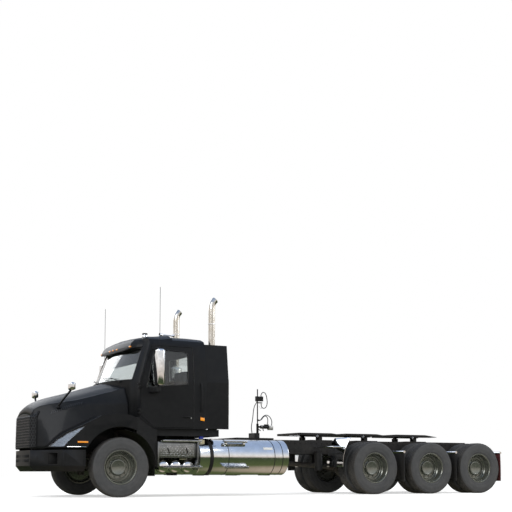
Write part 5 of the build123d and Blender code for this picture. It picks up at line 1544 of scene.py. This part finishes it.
OUTER = ((-3.357, -0.014, 1.462), (-3.372, -0.014, 1.462), (-3.396, -0.015, 1.471), (-3.420, -0.017, 1.493),
         (-3.448, -0.021, 1.530), (-3.494, -0.027, 1.564), (-3.550, -0.032, 1.574), (-3.606, -0.034, 1.552),
         (-3.644, -0.032, 1.508), (-3.664, -0.026, 1.452), (-3.658, -0.017, 1.408), (-3.650, -0.012, 1.384),
         (-3.650, -0.012, 1.367))
INNER = ((-3.357, 0.014, 1.462), (-3.372, 0.014, 1.462), (-3.396, 0.015, 1.471), (-3.418, 0.017, 1.493),
         (-3.440, 0.021, 1.526), (-3.468, 0.024, 1.547), (-3.502, 0.025, 1.548), (-3.529, 0.022, 1.528),
         (-3.545, 0.018, 1.492), (-3.551, 0.014, 1.450), (-3.545, 0.010, 1.412), (-3.545, 0.010, 1.389))
# name, route, true length, stiffness
HOSES = (("supply", SUPPLY, 0.659, "stiff"), ("upper", UPPER, 0.695, "medium"),
         ("outer", OUTER, 0.504, "medium"), ("inner", INNER, 0.364, "medium"))
HOSE_WIDE = 0.016
FERRULE_LONG = 0.020
for name, route, length, stiffness in HOSES:
    curve = curve_of(f"{name}_hose", [row(p) for p in route], HOSE_WIDE / 2, True, 6, 12)
    tube = bpy.data.objects.new(f"{name}_hose", curve)
    collect(tube)
    curve.materials.append(HOSE)
    ends = []
    for a, b in ((route[0], route[1]), (route[-1], route[-2])):
        inward = (Vector(b) - Vector(a)).normalized() * FERRULE_LONG
        ends.append(pipe((a, Vector(a) + inward), 0.0115, False, 4))
    ferrules = piece(f"{name}_hose_ferrules", ends, ZINC, "chassis", 40)
    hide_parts(f"hose_{name}")
    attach(tube, "chassis")
print(len(HOSES), "hoses")

# %% [markdown]
# ## Rear guards and flaps
# Bright quarter fenders stand ahead of the first twin wheels.  Each axle has a pair of rubber flaps
# with a slight belly, and the last pair is dark red.

# %% Guards and flaps
rounded("quarter_fenders", CHROME, 0.0015, flat=0.2)
rounded("flap_bars", CHROME, 0.002, flat=0.2)
FLAP_TOP, FLAP_TALL, FLAP_THICK = 0.825, 0.575, 0.010
FLAP_INNER, FLAP_OUTER = 0.605, 1.170
FLAP_STEPS = 12


def flap(x):
    """A hanging rubber sheet with a belly."""
    points, faces = [], []
    for side in (0.0, FLAP_THICK):
        for i in range(FLAP_STEPS + 1):
            z = FLAP_TOP - FLAP_TALL * i / FLAP_STEPS
            belly = 0.006 * math.sin(math.pi * i / FLAP_STEPS)
            points += [(x - 0.006 + side - belly, y, z) for y in (FLAP_INNER, FLAP_OUTER)]
    turn = 2 * (FLAP_STEPS + 1)
    for a in range(0, 2 * FLAP_STEPS, 2):
        faces += [[a, a + 1, a + 3, a + 2], [turn + a, turn + a + 2, turn + a + 3, turn + a + 1],
                  [a, a + 2, turn + a + 2, turn + a], [a + 1, turn + a + 1, turn + a + 3, a + 3]]
    last = 2 * FLAP_STEPS
    faces += [[0, turn, turn + 1, 1], [last, last + 1, turn + last + 1, turn + last]]
    return points, faces


for label, stations, look in (("middle", (-6.035, -7.345), FLAP), ("rear", (-8.530,), FLAP_RED)):
    hung = [flap(x) for x in stations]
    stands_for = ("mudflaps",) if label == "middle" else ()
    piece(f"{label}_flaps", pair(*hung), look, "chassis", 40, stands_for)
flap_bolt = ((0.0, -0.0305), (0.010, -0.0305), (0.012, -0.026), (0.012, -0.020))
bar_bolts = [turned([(r, x + a) for r, a in flap_bolt], (0, y, 0.800), 0, 8)
             for x in (-6.035, -7.345, -8.524) for y in (0.68, 0.89, 1.10)]
piece("flap_bolts", pair(*bar_bolts), ZINC)
print("six flaps")

# %% [markdown]
# ## Inside the cab
# What shows through the glass: the dash with its binnacle, the wheel, and two seats.  The seats are
# foam under cloth, so they are modelled crowned, with welts.

# %% Dash and wheel
SHELF_LINE = ((-0.362, 1.702), (-0.362, 2.040), (-0.420, 2.052), (-0.550, 2.056), (-0.640, 2.022),
              (-0.688, 1.952), (-0.620, 1.702))
BINNACLE_LINE = ((-0.560, 2.040), (-0.600, 2.085), (-0.700, 2.060), (-0.700, 1.950), (-0.620, 1.900))
COLUMN_LINE = ((-0.430, 1.720), (-0.430, 1.470), (-0.612, 1.310), (-0.612, 1.243), (-0.670, 1.243),
               (-0.670, 1.720))
shelf = prism(SHELF_LINE, 1, -0.998, 0.998, 0.014, 3)
binnacle = prism(BINNACLE_LINE, 1, 0.270, 0.770, 0.016, 3)
column = prism(COLUMN_LINE, 1, -0.098, 0.098, 0.01, 2)
vents = [block((-0.700, y - 0.055, 1.930), (-0.664, y + 0.055, 1.975), 0.006)
         for y in (-0.85, -0.45, -0.05, 0.12, 0.90)]
piece("dash", [shelf, binnacle, column], TRIM, "chassis", 40, ("cab_interior",))
piece("dash_vents", vents, PLASTIC)
SEAT_Y = 0.520
HUB = Vector((-0.790, SEAT_Y, 2.020))
WHEEL_TILT = math.radians(62)
facing = Vector((-math.sin(WHEEL_TILT), 0.0, math.cos(WHEEL_TILT)))
upward = Vector((math.cos(WHEEL_TILT), 0.0, math.sin(WHEEL_TILT)))
sideways = Vector((0, 1, 0))


def on_wheel(radius, angle):
    """A point of the steering wheel's plane."""
    return HUB + radius * (math.cos(angle) * upward + math.sin(angle) * sideways)


rim = [on_wheel(0.220, math.pi * k / 18) for k in range(36)]
spokes = [pipe((HUB, on_wheel(0.215, angle)), 0.012) for angle in (math.pi / 2, 3 * math.pi / 2, math.pi)]
shaft = pipe((HUB + 0.02 * facing, (-0.650, SEAT_Y, 1.945)), 0.024)
pad = pipe((HUB - 0.012 * facing, HUB + 0.030 * facing), 0.062, False, 6)
wheel_parts = [pipe(rim, 0.015, closed=True, sides=4), *spokes, shaft, pad]
piece("steering_wheel", wheel_parts, PLASTIC, "chassis", 50)
piece("header_lining", [block((-0.640, -0.930, 2.440), (-0.560, 0.930, 2.660), 0.020)], LINING)
print("dash and wheel")


# %% Seats
def cushion(low, high, crown, along=2):
    """A foam cushion: a soft box whose broad face swells in the middle and dips at two seams."""
    bm = bmesh.new()
    bmesh.ops.create_cube(bm, size=1.0)
    bmesh.ops.subdivide_edges(bm, edges=bm.edges[:], cuts=13, use_grid_fill=True)
    for v in bm.verts:
        p = [2 * c for c in v.co]
        bulk = math.prod((1 - abs(p[i]) ** 6) ** 0.5 if i != along else 1.0 for i in range(3))
        seam = 0.35 * math.exp(-((abs(p[1]) - 0.58) / 0.07) ** 2)
        grow = crown * (bulk - seam * bulk) * p[along]
        soft = [c * (1 - 0.06 * sum(abs(p[j]) ** 8 for j in range(3) if j != i) / 2) for i, c in enumerate(p)]
        spot = [(low[i] + high[i]) / 2 + soft[i] * (high[i] - low[i]) / 2 for i in range(3)]
        spot[along] += grow
        v.co = spot
    return lists(bm)


for side, sign in SIDES:
    y = SEAT_Y * sign
    seat = cushion((-1.420, y - 0.250, 1.640), (-0.960, y + 0.250, 1.765), 0.018)
    back = cushion((-1.500, y - 0.240, 1.720), (-1.385, y + 0.240, 2.290), 0.016, 0)
    for name, shape in (("seat_cushion", seat), ("seat_back", back)):
        made = piece(f"{name}_{side}", [shape], CLOTH, "chassis", 60)
    base = [block((-1.340, y - 0.150, 1.243), (-1.040, y + 0.150, 1.645), 0.02, 3),
            block((-1.480, y - 0.2, 1.66), (-1.42, y + 0.2, 1.76), 0.01)]
    piece(f"seat_base_{side}", base, PLASTIC)
print("two seats")
